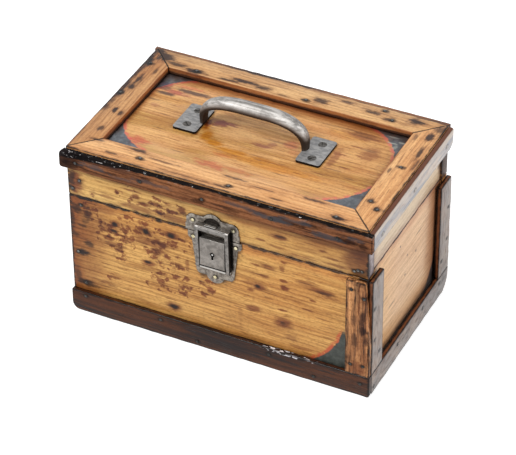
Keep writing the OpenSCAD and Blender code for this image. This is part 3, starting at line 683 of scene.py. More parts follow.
# The right end's pale tones are partly a painted sheen of the light from the right
END_PINE = {"light": (0.76, 0.5, 0.28), "warm": (0.64, 0.38, 0.2), "dark": (0.38, 0.18, 0.075)}


def paint_end(g, place, colour, ragged):
    """Browner at the foot and at the back, as painted shade beside the proud rail and back stile, yellower
    at the front, with faint painted corners.
    """
    y, z = g.parts(place)[1:]
    # The first three rows are painted shade: along the rail at the foot, and beside the back stile
    colour = coats(g, colour, (z, 0.05, 0.022, 0.25, (0.7, 0.5, 0.42)),
                   (z, 0.029, 0.0235, 0.6, (0.16, 0.08, 0.06)),
                   (y, 0.035, 0.07, 0.8, (0.42, 0.24, 0.18)),
                   (y, -0.01, -0.065, 0.8, (1.0, 0.93, 0.72)))
    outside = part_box("right_end_board")[1].x
    return painted_corners(g, place, colour, ragged, END_CORNERS, (1, 2, 0),
                           (outside - 0.0008, outside - 0.0003), 0.35, END_GREY, END_RED)


plain_board("right_end_board", 1, "box", contrast=0.7, glow=(0.7, 0.45, 0.35), paint=paint_end,
            specular=0.5, coat=0.3, stains=[("right", DARK_TINT, 1.0, PINHOLES)], **END_PINE)

# %% Boards out of sight
LEFT_MARKS = [(-40, 92, 5, 3.6, 1), (22, 50, 5, 4, 0.9), (48, 104, 4, 3, 0.9), (-58, 30, 4, 3, 0.8)]
LEFT_HALOS = [(-40, 92, 12, 6, 0.9), (22, 50, 12, 7, 0.9), (48, 104, 10, 5, 0.8), (-58, 30, 10, 5, 0.8),
              (0, 120, 40, 5, 0.5), (-82, 70, 6, 50, 0.7), (84, 60, 5, 60, 0.7), (10, 12, 60, 6, 0.6)]
BACK_MARKS = [(-112, 44, 6, 3.6, 1), (-20, 96, 5, 3.4, 0.95), (64, 32, 6, 4, 1), (118, 88, 5, 3, 0.9),
              (30, 66, 4, 3, 0.8)]
BACK_HALOS = [(-112, 44, 14, 6, 0.9), (-20, 96, 13, 6, 0.9), (64, 32, 14, 8, 0.9), (118, 88, 12, 5, 0.8),
              (30, 66, 12, 4, 0.7), (-60, 70, 18, 3, 0.6), (-146, 60, 8, 60, 0.7), (146, 60, 8, 60, 0.7),
              (0, 8, 120, 7, 0.6), (90, 112, 20, 3, 0.6), (-80, 112, 26, 3, 0.5)]
plain_board("left_end_board", 1, "box", contrast=0.9, glow=(0.6, 0.4, 0.3),
            stains=[("left", BROWN, 1.4, LEFT_HALOS), ("left", DARK_TINT, 0.9, LEFT_MARKS)])
plain_board("back_board", 0, "box", glow=(0.65, 0.42, 0.3),
            stains=[("back", BROWN, 1.4, BACK_HALOS), ("back", DARK_TINT, 0.9, BACK_MARKS)])
plain_board("bottom_board", 0, "box", pith=(0, -0.2, 0.06))

# %% [markdown]
# ## Dark strips of the box
# A rail runs along the foot of the front and round the right end, and three stiles stand on it.
# They are stained nearly black, and lacquered, so their grain shows only as reddish streaks. The
# front stile is the paler one, with coarse upright grain, and its right edge leans, which leaves a
# wedge of shadow at the corner. The outer faces at the right end are rubbed to a dusty grey, with a
# painted sheen of the light from the right over it, and the ledges behind them are painted dark,
# partly as shade.

# %% Tones of the strips
STRIP = {"light": (0.105, 0.031, 0.009), "warm": (0.047, 0.015, 0.006), "dark": (0.01, 0.0045, 0.003),
         "contrast": 1.2, "patch": ((0.012, 0.009, 0.01), 0.7), "edge": 2.4, "roughness": 0.3,
         "coat": 0.3, "specular": 0.1, "gloss": 0.1, "relief": 0.6}
# Pale tones of the right end's outer faces: dust, with a painted sheen of the light from the right
DUST_AND_SHEEN = (0.36, 0.29, 0.245)
DUST_AND_SHEEN_BLUE = (0.26, 0.235, 0.225)
# The ledges behind the outer faces are painted black and red-brown: the strips' dark stain and painted shade
# in the recess
BLACK_LEDGE_SHADE = (0.02, 0.007, 0.004)
RED_LEDGE_SHADE = (0.2, 0.068, 0.026)
OUTER_FACE = (0.1541, 0.1548)
BEHIND_FACE = (0.1546, 0.1538)


def outer_face(g, place):
    """1 on what faces right at the right end, and 0 on the ledges behind it."""
    return g.band(g.parts(place)[0], *OUTER_FACE)


def dust_sheen_and_ledge_shade(g, place, colour, ragged):
    """Pales what faces right, where the lacquer is rubbed and dusty and a sheen of the light from the right
    is painted, and blackens the ledges, partly as painted shade.
    """
    outer = g.times(outer_face(g, place), g.band(ragged, 0.35, -0.1, 0.85))
    smeared = g.noise(place, (40, 40, 40), detail=3)
    pale = g.mix(g.band(smeared, 0.36, 0.64), DUST_AND_SHEEN, DUST_AND_SHEEN_BLUE)
    x = g.parts(place)[0]
    ledge = g.mix(g.band(g.plus(x, ragged, 0.002), 0.1508, 0.1528), BLACK_LEDGE_SHADE, RED_LEDGE_SHADE)
    colour = g.mix(g.band(x, *BEHIND_FACE), colour, ledge)
    return g.mix(outer, colour, pale)


def outer_coat(g, place):
    """Lacquer that shines only on the outer face."""
    return g.times(outer_face(g, place), 0.3)

# %% Rail and its rounded corners
CHIPS_AND_GLINTS_PLACE, CHIPS_AND_GLINTS_SIZE = (0.075, -0.0925, 0.0218), (0.04, 0.004, 0.0026)


def rail_chips_and_glints(g, place, colour, ragged):
    """Small pale marks along the upper edge of the front rail: chips, and painted glints of its lacquer."""
    near = g.call(MARK, Vector=place, Centre=CHIPS_AND_GLINTS_PLACE, Size=CHIPS_AND_GLINTS_SIZE)["Mask"]
    flakes = g.noise(place, (190, 400, 420))
    chips_and_glints = g.times(g.band(near, 0.1, 0.5), g.band(flakes, 0.53, 0.58))
    return g.mix(chips_and_glints, colour, (0.85, 0.82, 0.85))


def round_lower(piece, low, high, axis, side, radius, steps=5):
    """Rounds one lower corner of a strip that runs along an axis. Side is -1 or 1, radius in mm."""
    centre, outward = low.copy(), Vector((0, 0, 0))
    centre.z += radius * MM
    centre[axis] = (high[axis] - radius * MM) if side > 0 else (low[axis] + radius * MM)
    outward[axis] = side
    round_corner(piece, centre, (outward, (0, 0, -1)), radius * MM, steps)


def rail_corners(piece, low, high):
    round_lower(piece, low, high, 0, -1, 8)
    round_lower(piece, low, high, 0, 1, 3, 3)


plain_board("front_rail", 0, "box", "dark_strip", rail_corners, pith=(0, -0.06, 0.04),
            paint=rail_chips_and_glints, **STRIP)

# %% Front stile
LEAN, LEAN_START = 5.5 * MM, 60 * MM


def stile_lean(piece, low, high):
    """Draws the right edge in, from its start up to the top. The other edges are hidden meanwhile."""
    pick(piece, "VERT", lambda vert: vert.co.x > high.x - 0.1 * MM)
    bpy.ops.mesh.hide(unselected=True)
    bpy.ops.mesh.select_all(action="DESELECT")
    mesh = bmesh.from_edit_mesh(piece.data)
    for vert in mesh.verts:
        if not vert.hide and vert.co.z > high.z - 0.1 * MM:
            vert.select_set(True)
    bmesh.update_edit_mesh(piece.data)
    bpy.ops.transform.translate(value=(-LEAN, 0, 0), use_proportional_edit=True,
                                proportional_edit_falloff="LINEAR", proportional_size=high.z - LEAN_START)
    bpy.ops.mesh.reveal(select=False)
    close_edit()


STILE = {**STRIP, "light": (0.62, 0.3, 0.12), "warm": (0.31, 0.12, 0.046), "dark": (0.035, 0.013, 0.008),
         "contrast": 1.7, "patch": ((0.025, 0.015, 0.015), 0.8), "coat": 0.1}
STILE_MARKS = [(147, 88, 5, 12, 0.8), (148, 76, 6, 8, 0.9), (140, 62, 4, 10, 0.7), (152, 106, 3, 12, 0.7),
               (151, 66, 4, 8, 0.8), (143, 126, 14, 3, 0.5), (134, 38, 3, 8, 0.5), (139, 84, 2.4, 9, 0.6)]
STILE_HALOS = [(149, 84, 7, 22, 0.7), (147, 62, 7, 20, 0.6), (135, 44, 4, 14, 0.4), (150, 110, 6, 14, 0.6),
               (143, 30, 15, 14, 1), (150, 44, 7, 14, 0.8)]
plain_board("front_stile", 2, "box", "dark_strip", stile_lean, pith=(0, -0.05, 0.12), ring=0.003,
            stains=[("front", (0.12, 0.09, 0.14), 1.5, STILE_MARKS),
                    ("front", (0.5, 0.4, 0.4), 0.8, STILE_HALOS)], **STILE)

# %% End rail and end stiles
def end_rail_corners(piece, low, high):
    round_lower(piece, low, high, 1, 1, 15)
    round_lower(piece, low, high, 1, -1, 3, 3)


END_STRIP = {**STRIP, "paint": dust_sheen_and_ledge_shade, "glints": outer_coat, "specular": 0.15}
plain_board("end_rail", 1, "box", "dark_strip", end_rail_corners, pith=(0, 0.17, 0.04), **END_STRIP)
for stile in ("end_stile_front", "end_stile_back"):
    plain_board(stile, 2, "box", "dark_strip", pith=(0, 0, 0.2), **END_STRIP)

# %% [markdown]
# ## Boards of the lid
# The lid is a shallow box of its own. Its front board goes from yellow pine at the left, with more
# rusty spots, to a browner right end. The top board is the panel inside the frame. It has four
# painted corners, and rubbed pink and purple traces of the same paint.

# %% Marks of the lid's front
LID_SPLASHES = [
    (-85, 154, 12, 1.8, 0.8), (-71, 142, 8, 3.5, 1), (-80, 148, 6, 4, 0.9), (-60, 146, 9, 3, 0.9),
    (-57, 138, 8, 2.6, 0.9), (-42, 143, 9, 3.2, 1), (-33, 148, 6, 5, 0.9), (-47, 150, 6, 3, 0.7),
    (-99, 147, 3, 2.2, 0.8), (-124, 139, 6, 3, 0.4), (45, 141, 7, 1.6, 0.8), (106, 148, 5, 1.6, 0.8),
    (116, 142, 11, 1.8, 0.7), (60, 138, 12, 2, 0.6), (142, 149, 9, 7, 0.4), (85, 135, 22, 1.6, 0.6),
    (120, 136, 20, 2, 0.6),
]
LID_HALOS = [(-78, 136, 26, 5, 0.7), (-110, 139, 12, 3, 0.6), (-42, 136, 24, 6, 0.7),
             (-143, 146, 13, 20, 1), (140, 146, 22, 18, 0.7), (63, 149.5, 13, 4.5, 0.9),
             (-36, 146, 14, 7, 0.3), (90, 144, 14, 3, 0.3)]
LID_RUST = [(-80, 149, 15, 11, 1), (-69, 145, 11, 9, 1), (-54, 146, 16, 9, 1), (-38, 145, 14, 9, 1),
            (-99, 147, 7, 5, 0.7), (-60, 138, 14, 5, 0.9), (-120, 136, 10, 4, 0.5)]
# Burns, with two marks at x -2 that are painted shade round the catch plate and in its opening
LID_BURNS_AND_SHADE = [(143, 133, 12, 5, 0.6), (-146, 150, 6, 12, 0.8), (-149, 138, 7, 7, 0.85),
             (-138, 146, 5, 3, 0.6), (63, 150, 8, 2.2, 0.75), (150, 140, 4, 12, 0.7),
             (-2, 144, 34, 11, 0.8), (-2, 134, 30, 8, 0.9)]
print("marks on the lid's front:", len(LID_SPLASHES + LID_HALOS + LID_BURNS_AND_SHADE))

# %% Walls of the lid
def paint_lid_front(g, place, colour, ragged):
    """Under the strip the lid's front is painted browner, as the strip's shade, and its right half is duller
    than its left.
    """
    x, z = g.parts(place)[::2]
    drift = g.drift(place, (22, 60, 60), 0.03)
    reach = g.plus(g.plus(z, drift), g.band(x, -0.03, 0.05, 0.009))
    # The first row is painted shade under the strip, and the second browns the right end
    colour = coats(g, colour, (reach, 0.155, 0.168, 0.85, (0.42, 0.25, 0.18)),
                   (g.plus(x, drift, 1.5), 0.1, 0.148, 0.85, (0.4, 0.22, 0.15)))
    right_half = g.times(g.band(x, -0.04, 0.06), g.band(x, 0.15, 0.11))
    colour = stain(g, g.times(right_half, 0.5), colour, (0.8, 0.66, 0.55))
    end_grain = g.mix(g.band(ragged, -0.1, 0.15), (0.34, 0.29, 0.3), (0.16, 0.12, 0.12))
    colour = g.mix(g.band(x, 0.1494, 0.1498), colour, end_grain)
    return rusty(g, place, colour, "front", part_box("lid_front_board"), LID_RUST, 0.62)


plain_board("lid_front_board", 0, "lid", light=(0.77, 0.49, 0.16), warm=(0.63, 0.34, 0.095),
            dark=(0.26, 0.1, 0.02), contrast=0.8, edge=2.6, paint=paint_lid_front,
            stains=[("front", BROWN, 1.8, LID_SPLASHES), ("front", BROWN, 1.0, LID_HALOS),
                    ("front", DARK_TINT, 1.8, LID_BURNS_AND_SHADE)],
            # A black oval, painted as the shade in the catch plate's opening
            layers=[("front", GRIME_AND_SHADE, 0.2, [(-2, 143, 18, 13, 1)])])
# The lid's right board is paler, partly as a painted sheen of the light from the right
plain_board("lid_right_board", 1, "lid", light=(0.68, 0.54, 0.37), warm=(0.62, 0.45, 0.28),
            dark=(0.34, 0.2, 0.1), contrast=0.6, glow=(0.5, 0.32, 0.28), specular=0.5, coat=0.3,
            stains=[("right", DARK_TINT, 1.5, [(80, 150, 12, 20, 0.7), (64, 160, 24, 3, 0.6),
                                          (-84, 140, 6, 16, 0.5)])])
plain_board("lid_left_board", 1, "lid", glow=(0.6, 0.4, 0.3))
plain_board("lid_back_board", 0, "lid", glow=(0.65, 0.42, 0.3),
            stains=[("right", DARK_TINT, 1.0, [(83, 148, 30, 40, 0.95)])])

# %% Marks of the panel
PANEL_CORNERS = [(-66, 5, -1, 1, 64.5), (-72, -2, -1, -1, 57), (66, 8, 1, 1, 59), (68, -5, 1, -1, 55.3)]
PANEL_GREY = (0.082, 0.09, 0.1)
PANEL_RED = (0.62, 0.17, 0.11)
PANEL_SKIN = (0.1764, 0.1769)
PANEL_X, PANEL_Y, PANEL_TOP = 0.125, 0.064, 0.177
PANEL_SMEARS = [(-88, 44, 26, 4.4, 1), (-112, 33, 13, 4, 1), (-116, 40, 10, 5, 0.8), (-119, 20, 10, 2, 0.6),
                (97, 29, 9, 2.4, 0.5), (79, -11, 12, 1.3, 0.6), (99, -18, 7, 1.3, 0.6),
                (20, 6, 22, 1.6, 0.4), (60, 52, 40, 2, 0.35), (40, -38, 12, 1.2, 0.5),
                (-60, -45, 10, 1.2, 0.5)]
PANEL_PURPLE = [(-44, 11, 13, 7, 0.95), (-34, 13, 12, 4, 0.8), (6, -5, 12, 4, 0.7), (-118, 46, 12, 5, 0.6),
                (14, 1, 6, 5, 0.5), (-112, 12, 6, 4, 0.4), (-100, 38, 14, 4, 0.5)]
PANEL_PINK = [(-22, -51, 22, 7, 0.9), (4, -50, 20, 5, 0.6), (30, 8, 10, 9, 0.7), (38, -2, 8, 6, 0.35),
              (-99, -45, 14, 9, 1), (-107, 38, 18, 6, 0.8), (-20, -34, 12, 4, 0.4), (-94, 50, 18, 4, 0.7)]
PANEL_AMBER = [(24, -30, 80, 8, 0.75), (-53, 2, 6, 10, 0.95), (-46, -12, 8, 12, 1), (-36, -19, 14, 7, 1),
               (-14, -25, 24, 6, 0.9), (14, -26, 22, 6, 0.8), (26, -34, 30, 5, 0.7),
               (-100, 26, 30, 7, 0.35), (10, 40, 60, 8, 0.4), (66, 42, 30, 9, 0.5)]
PANEL_SHADOW = [(-54, 6, 5, 9, 0.9), (-58, -12, 4, 8, 0.7), (73, 5, 6, 22, 0.6), (100, 24, 12, 16, 0.55),
                (84, 48, 26, 8, 0.6), (50, -14, 10, 4, 0.5), (60, 22, 8, 1, 0.8), (78, 14, 7, 0.9, 0.8),
                (88, -4, 8, 0.9, 0.7), (70, -22, 9, 1, 0.7), (52, -30, 7, 0.9, 0.6), (92, 18, 6, 1, 0.8),
                (84, 30, 9, 1, 0.7), (-70, -30, 9, 0.9, 0.5), (-90, -20, 11, 0.9, 0.5), (10, 34, 15, 1, 0.5),
                (-30, 44, 17, 1, 0.5), (0, -40, 13, 0.9, 0.5)]
PANEL_SCUFFS = [(112, 49, 6, 1.2, 0.6), (116, 44, 3, 4, 0.5), (119, 53, 4, 1.4, 0.6), (110, 58, 8, 1.2, 0.4),
                (103, -58, 8, 1.2, 0.5), (88, -62, 10, 1.2, 0.5)]
PANEL_STAINS = [("top", (0.8, 0.58, 0.18), 0.9, PANEL_AMBER), ("top", (0.9, 0.5, 0.6), 1.8, PANEL_PINK),
                ("top", (0.42, 0.2, 0.45), 1.8, PANEL_PURPLE),
                ("top", (0.22, 0.22, 0.34), 1.3, PANEL_SMEARS), ("top", (0.3, 0.1, 0.07), 1.5, PANEL_SHADOW)]
print("marks on the panel:", sum(len(row[3]) for row in PANEL_STAINS))

# %% Panel of the lid
def paint_panel(g, place, colour, ragged):
    """Paler near the front, with painted corners, and painted shade along the back and the sides,
    where the frame's walls stand over it, with a dark shade line at the foot of the walls.
    """
    x, y = g.parts(place)[:2]
    drift = g.drift(place, (14, 50, 50), 0.03)
    colour = g.mix(g.band(g.plus(y, drift), -0.036, -0.056, 0.4), colour, (0.8, 0.5, 0.3))
    cloud = g.noise(place, (9, 34, 34), detail=3)
    colour = coats(g, colour, (cloud, 0.5, 0.62, 0.8, (0.84, 0.92, 0.7)),
                   (cloud, 0.45, 0.34, 0.7, (0.88, 0.76, 0.82)),
                   (g.plus(x, drift, 2.0), 0.0, 0.07, 0.8, (0.9, 0.84, 0.74)))
    colour = painted_corners(g, place, colour, ragged, PANEL_CORNERS, (0, 1, 2), PANEL_SKIN, 1.0,
                             PANEL_GREY, PANEL_RED)
    inner = g.call(EDGE_DISTANCE, Vector=place, Low=(-PANEL_X, -PANEL_Y, PANEL_TOP),
                   High=(PANEL_X, PANEL_Y, 1.0))["Distance"]
    near = g.plus(inner, ragged, 0.003)
    # Painted shade: a broad band at the back, a narrower one at the back and sides, and a thin line at the
    # walls' foot
    return coats(g, colour, (y, 0.046, 0.06, 0.7, (0.5, 0.32, 0.26)),
                 (near, 0.008, 0.001, g.band(y, -0.05, -0.04, 0.7), (0.4, 0.2, 0.12)),
                 (near, 0.002, 0.0005, 0.9, EDGE_GRIME_AND_SHADE))


plain_board("lid_top_board", 0, "lid", light=(0.81, 0.48, 0.19), warm=(0.5, 0.21, 0.062),
            dark=(0.3, 0.11, 0.03), contrast=0.9, fine=0.75, pith=(0, -0.25, 0.06), paint=paint_panel,
            roughness=0.36, stains=PANEL_STAINS,
            layers=[("top", (0.42, 0.42, 0.36), 2.4, PANEL_SCUFFS)])

# %% [markdown]
# ## Frame round the panel
# Four battens are mitred at the corners. Each one is a block as long as the lid, and the plane
# that runs through the corner at 45 degrees cuts its end off, as a mitre saw does. Their edge
# distance ignores the sawn ends, so the mitres get a thin dark line of their own.

# %% Marks of the frame
FRAME_MARKS = [
    (-129, -68, 9, 2.4, 0.8), (-108, -81, 8, 2, 0.8), (-88, -67, 12, 2.6, 0.9), (4, -84, 12, 2, 0.8),
    (10, -68, 16, 1.8, 0.8), (56, -81, 8, 2, 0.7), (88, -68, 14, 2, 0.9), (117, -82, 10, 4.5, 1),
    (-60, -73, 26, 1.4, 0.7), (-30, -84, 30, 1.6, 0.6), (40, -72, 22, 1.2, 0.7),
    (-136, 78, 13, 8, 1), (-143, 85, 9, 6, 1), (-120, 72, 16, 4, 0.9), (-99, 69, 14, 5, 1),
    (-64, 69, 16, 2.4, 0.9), (-45, 73, 22, 3.4, 1), (-29, 71, 12, 3.4, 0.9), (-8, 68, 8, 2, 0.6),
    (27, 74, 12, 5, 0.9), (51, 83, 9, 2.4, 0.8), (79, 78, 12, 4, 0.9), (97, 73, 9, 3, 0.8),
    (122, 81, 12, 6, 1),
    (-135, -51, 3.4, 6, 0.8), (-130, -22, 3, 5, 0.9), (-137, -20, 3, 6, 1), (-141, 20, 4, 7, 1),
    (-141, 34, 4, 12, 0.9), (-146, 64, 5, 10, 1), (-133, 53, 2.4, 8, 0.7), (-146, 9, 4, 7, 0.9),
    (142, 64, 5, 9, 1), (130, 58, 2, 7, 0.6), (143, 37, 3, 13, 0.9), (147, 20, 2, 14, 0.7),
    (129, 2, 1.6, 5, 0.7), (133, -47, 2.6, 5, 0.7), (143, -57, 4, 6, 0.8), (146, 78, 6, 10, 0.8),
]
FRAME_PINE = {"light": (0.855, 0.495, 0.22), "warm": (0.68, 0.33, 0.125), "dark": (0.26, 0.085, 0.025),
              "edge": 1.9, "contrast": 0.85, "ring": 0.004, "roughness": 0.38}
print("marks on the frame:", len(FRAME_MARKS))

# %% Mitres
FRAME_WIDTH = 0.025
MITRE = PANEL_X - PANEL_Y
SAWN_END = 0.03


def paint_mitre(g, place, colour, ragged):
    """A dark line along the mitres, a browner and darker inner wall whose lower part is painted near black
    as shade, and a duller outer edge.
    """
    z = g.parts(place)[2]
    x, y = g.parts(g.vector("ABSOLUTE", place))[:2]
    near = g.plus(g.math("ABSOLUTE", g.minus(g.minus(x, y), MITRE)), ragged, 0.0016)
    colour = g.mix(g.band(near, 0.0016, 0.0005, 0.9), colour, GRIME_AND_SHADE)
    across, deep = g.minus(x, PANEL_X), g.minus(y, PANEL_Y)
    wall = g.times(g.band(across, 0.0009, 0.0004), g.band(deep, 0.0009, 0.0004))
    # The lower part of the inner wall is painted near black, as shade in the recess
    low = g.band(g.plus(z, ragged, 0.002), 0.1804, 0.179)
    outer = g.math("MINIMUM", g.minus(FRAME_WIDTH, across), g.minus(FRAME_WIDTH, deep))
    colour = coats(g, colour, (g.plus(outer, ragged, 0.012), 0.014, 0.001, 0.35, (0.6, 0.54, 0.56)))
    colour = stain(g, g.times(wall, 0.9), colour, (0.5, 0.3, 0.2))
    return g.mix(g.times(g.times(wall, low), 0.92), colour, (0.045, 0.016, 0.008))

# %% One batten
def batten(node, along, outside, **finish):
    """A frame batten. Outside is the direction from the panel's middle to the batten."""
    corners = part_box(node)
    grown = [corner.copy() for corner in corners]
    grown[0][along] -= SAWN_END
    grown[1][along] += SAWN_END
    other = 1 - along
    grown[outside < 0][other] -= outside * SAWN_END

    def mitres(piece, low, high):
        for end in (-1, 1):
            toward, outward = Vector((0, 0, 0)), Vector((0, 0, 0))
            toward[along], toward[other] = end, outside
            outward[along], outward[other] = end, -outside
            slice_off(piece, toward * Vector((PANEL_X, PANEL_Y, 0)), outward)

    piece = board(node, along, edge=0.5, depth=0.7, shape=mitres)
    marks = [m for m in FRAME_MARKS if all(corners[0][k] < m[k] * MM < corners[1][k] for k in (0, 1))]
    halos = [(a, b, 1.3 * wide + 1.5, 1.4 * tall + 1.2, 0.45 * most) for a, b, wide, tall, most in marks]
    finish.setdefault("paint", paint_mitre)
    material = wood(node.replace("_", " ") + " finish", grown, axis="XY"[along],
                    pith=(0, outside * 0.3, 0.12),
                    stains=[("top", (0.45, 0.33, 0.32), 1.2, halos), ("top", (0.1, 0.09, 0.13), 1.8, marks),
                            ("top", NAIL_RING, 1.6, nail_stains("top", corners, 4.2, 0.9))],
                    **{**FRAME_PINE, **finish})
    finish_piece(piece, material, "lid", node)
    print(piece.name, len(piece.data.vertices), "vertices,", len(marks), "marks")

# %% Four battens
def paint_left(g, place, colour, ragged):
    """The left batten's outer edge is black with wear where its strip is left."""
    x, y = g.parts(place)[:2]
    colour = stain(g, 1.0, colour, (0.7, 0.64, 0.6))
    inwards = g.plus(g.plus(x, 0.15), ragged, 0.012)
    charred = g.band(inwards, 0.0075, 0.0015, g.band(y, -0.028, -0.018))
    colour = stain(g, charred, colour, (0.08, 0.045, 0.05))
    return paint_mitre(g, place, colour, ragged)


def paint_back(g, place, colour, ragged):
    """The back batten is a little duller and less red."""
    return paint_mitre(g, place, stain(g, 1.0, colour, (0.9, 0.96, 1.0)), ragged)


batten("frame_front", 0, -1)
batten("frame_back", 0, 1, paint=paint_back)
batten("frame_left", 1, -1, paint=paint_left)
batten("frame_right", 1, 1)

# %% [markdown]
# ## Dark strips of the lid
# A strip covers the edge of the top board at the front and the right, and stumps of it are left at
# the back and the left. Its upper edge is rubbed round and shines nearly black, and towards its left
# end the front strip has lost some of its height.

# %% Tones of the lid strips
FASCIA = {**STRIP, "light": (0.31, 0.125, 0.052), "warm": (0.15, 0.055, 0.026), "dark": (0.03, 0.012, 0.008),
          "edge": 1.1, "patch": ((0.02, 0.016, 0.018), 0.8)}
SLATE = (0.055, 0.06, 0.07)
FASCIA_BURNS = [(-140, 172, 16, 14, 0.7), (-16, 168, 9, 3, 0.8), (72, 173, 26, 3.5, 0.85),
                (98, 176, 14, 2.5, 0.8), (132, 171, 14, 5, 0.9), (146, 169, 6, 5, 0.8),
                (48, 174, 16, 2.4, 0.7), (-66, 176, 14, 2, 0.7), (20, 168, 14, 2, 0.6),
                (-100, 170, 20, 2.4, 0.6)]
# Slate-grey smears along the front strip
FASCIA_SLATE_SMEARS = [(-122, 172, 22, 3.5, 0.6), (-92, 168, 18, 2.5, 0.5), (-60, 172, 26, 3, 0.5),
               (30, 175, 26, 3, 0.5), (58, 172, 24, 4, 0.75), (84, 176, 22, 3, 0.6),
               (112, 169, 20, 4, 0.65), (136, 174, 12, 3, 0.5)]
# The strip loses its height over a length, both in mm, to the left of a place
LOSS, LOSS_LENGTH, LOSS_START = 4, 70, -0.085
STRIP_TOP = 0.182


def below_top(g, place):
    """How far a point lies below the front strip's upper edge, also where that is worn away."""
    x, z = g.parts(place)[::2]
    lost = g.times(g.math("MAXIMUM", g.minus(LOSS_START, x), 0.0), LOSS / LOSS_LENGTH)
    return g.minus(g.minus(STRIP_TOP, lost), z)


def black_top(g, place, colour, ragged):
    """Turns the rubbed upper edge of the front strip black, more of it at the left, with small pale flecks
    there as painted glints of its lacquer.
    """
    x = g.parts(place)[0]
    depth = g.plus(below_top(g, place), ragged, 0.0035)
    reach = g.plus(0.0016, g.band(x, 0.0, -0.15, 0.0024))
    black = g.band(depth, reach, g.minus(reach, 0.0012))
    colour = g.mix(black, colour, (0.006, 0.004, 0.004))
    colour = g.mix(g.band(x, -0.132, -0.15, 0.85), colour, (0.012, 0.008, 0.008))
    painted_glints = g.times(g.band(g.noise(place, (260, 460, 460)), 0.665, 0.7), black)
    return g.mix(g.times(painted_glints, g.band(x, -0.04, -0.11, 0.8)), colour, (0.55, 0.52, 0.5))


def top_glints(g, place):
    """Small beads of lacquer that shine along the upper edge."""
    beads = g.band(g.noise(place, (190, 320, 320)), 0.6, 0.64)
    return g.times(beads, g.band(below_top(g, place), 0.004, 0.003))

# %% Shapes of the lid strips
def soft_top(piece, high, axis, outer):
    """Rounds the upper outer edge more than the others."""
    def on_edge(edge):
        upper = all(v.co.z > high.z - 4.5 * MM and abs(v.co[axis] - outer) < 1e-5 for v in edge.verts)
        return upper and edge.calc_face_angle(0) > SHARP

    pick(piece, "EDGE", on_edge)
    bpy.ops.mesh.bevel(offset=2.2 * MM, segments=4, affect="EDGES", clamp_overlap=True)
    close_edit()


def front_fascia_shape(piece, low, high):
    slice_off(piece, Vector((low.x, low.y, high.z - LOSS * MM)), (-LOSS, 0, LOSS_LENGTH))
    soft_top(piece, high, 1, low.y)
    round_lower(piece, low, high, 0, -1, 3, 3)


def slate_face(g, place, colour, ragged):
    """The right strip has a brown upper edge and a ledge painted black as shade. Its outer face goes from
    slate blue to cream: dust, with a painted sheen of the light from the right.
    """
    x, z = g.parts(place)[::2]
    streaks = g.noise(place, (60, 16, 190), detail=3)
    pale = g.mix(g.band(streaks, 0.42, 0.58), (0.33, 0.34, 0.37), (0.58, 0.5, 0.43))
    upper = g.times(g.band(z, 0.1785, 0.1805), g.band(ragged, 0.5, 0.1))
    colour = g.mix(g.band(x, *BEHIND_FACE), colour, BLACK_LEDGE_SHADE)
    colour = g.mix(upper, colour, (0.13, 0.048, 0.026))
    return g.mix(g.times(outer_face(g, place), g.band(ragged, 0.4, 0.0, 0.88)), colour, pale)


def right_fascia_shape(piece, low, high):
    round_lower(piece, low, high, 1, 1, 8)
    soft_top(piece, high, 0, high.x)


plain_board("fascia_front", 0, "lid", "dark_strip", front_fascia_shape, pith=(0, -0.05, 0.22),
            stains=[("front", (0.12, 0.1, 0.13), 2.2, FASCIA_BURNS)],
            layers=[("front", SLATE, 2.4, FASCIA_SLATE_SMEARS)],
            **{**FASCIA, "paint": black_top, "glints": top_glints, "specular": 0.04, "roughness": 0.5})
plain_board("fascia_right", 1, "lid", "dark_strip", right_fascia_shape, pith=(0, 0.2, 0.15),
            **{**FASCIA, "paint": slate_face, "glints": outer_coat, "specular": 0.15})
plain_board("fascia_back", 0, "lid", "dark_strip", pith=(0, 0.05, 0.22), **FASCIA)
plain_board("fascia_left", 1, "lid", "dark_strip", pith=(0, -0.2, 0.15), **FASCIA)

# %% [markdown]
# ## Worn steel
# The handle and the lock are plain steel that has gone dull. Clouds of a darker and a lighter grey,
# small pits and fine rubbed lines share one group, and each part sets its own tones. A metal shows
# what is round it, so it needs little colour, and most of its life comes from its roughness.

# %% Metal recipe
def build_worn_metal():
    g, i, o = new_group("Worn metal", {"Vector": ZERO, "Cloud Scale": 110.0}, ["Clouds", "Pits", "Rubs"])
    clouds = g.vector("SCALE", i["Vector"])
    g.feed(clouds.node.inputs["Scale"], i["Cloud Scale"])
    g.feed(o["Clouds"], g.noise(clouds, detail=5, roughness=0.65, warp=0.6))
    pits = g.noise(i["Vector"], (900, 900, 900), detail=3)
    g.feed(o["Pits"], g.band(pits, 0.58, 0.7))
    g.feed(o["Rubs"], g.noise(i["Vector"], (60, 700, 700), detail=3))
    return g.tree


WORN_METAL = build_worn_metal()
print("worn metal:", len(WORN_METAL.nodes), "nodes")


def metal(name, dark, light, roughness=0.4, scale=110.0, pits=0.6, shade=None):
    """Worn metal between a dark and a light tone. Shade adds the touches of a single part."""
    material, g, shader, place = new_material(name)
    worn = g.call(WORN_METAL, Vector=place, Cloud_Scale=scale)
    colour = g.mix(g.band(worn["Clouds"], 0.35, 0.65), dark, light)
    colour = g.mix(g.band(worn["Rubs"], 0.5, 0.7, 0.25), colour, light)
    colour = g.mix(g.times(worn["Pits"], pits), colour, tuple(0.3 * v for v in dark))
    if shade:
        colour = shade(g, place, colour)
    g.feed(shader.inputs["Base Color"], colour)
    shader.inputs["Metallic"].default_value = 0.9
    g.feed(shader.inputs["Roughness"], g.plus(roughness - 0.12, worn["Clouds"], 0.24))
    relief = g.minus(g.times(worn["Clouds"], 0.5), g.times(worn["Pits"], 0.4))
    bump(g, shader, relief, 0.3, 0.0004)
    return material

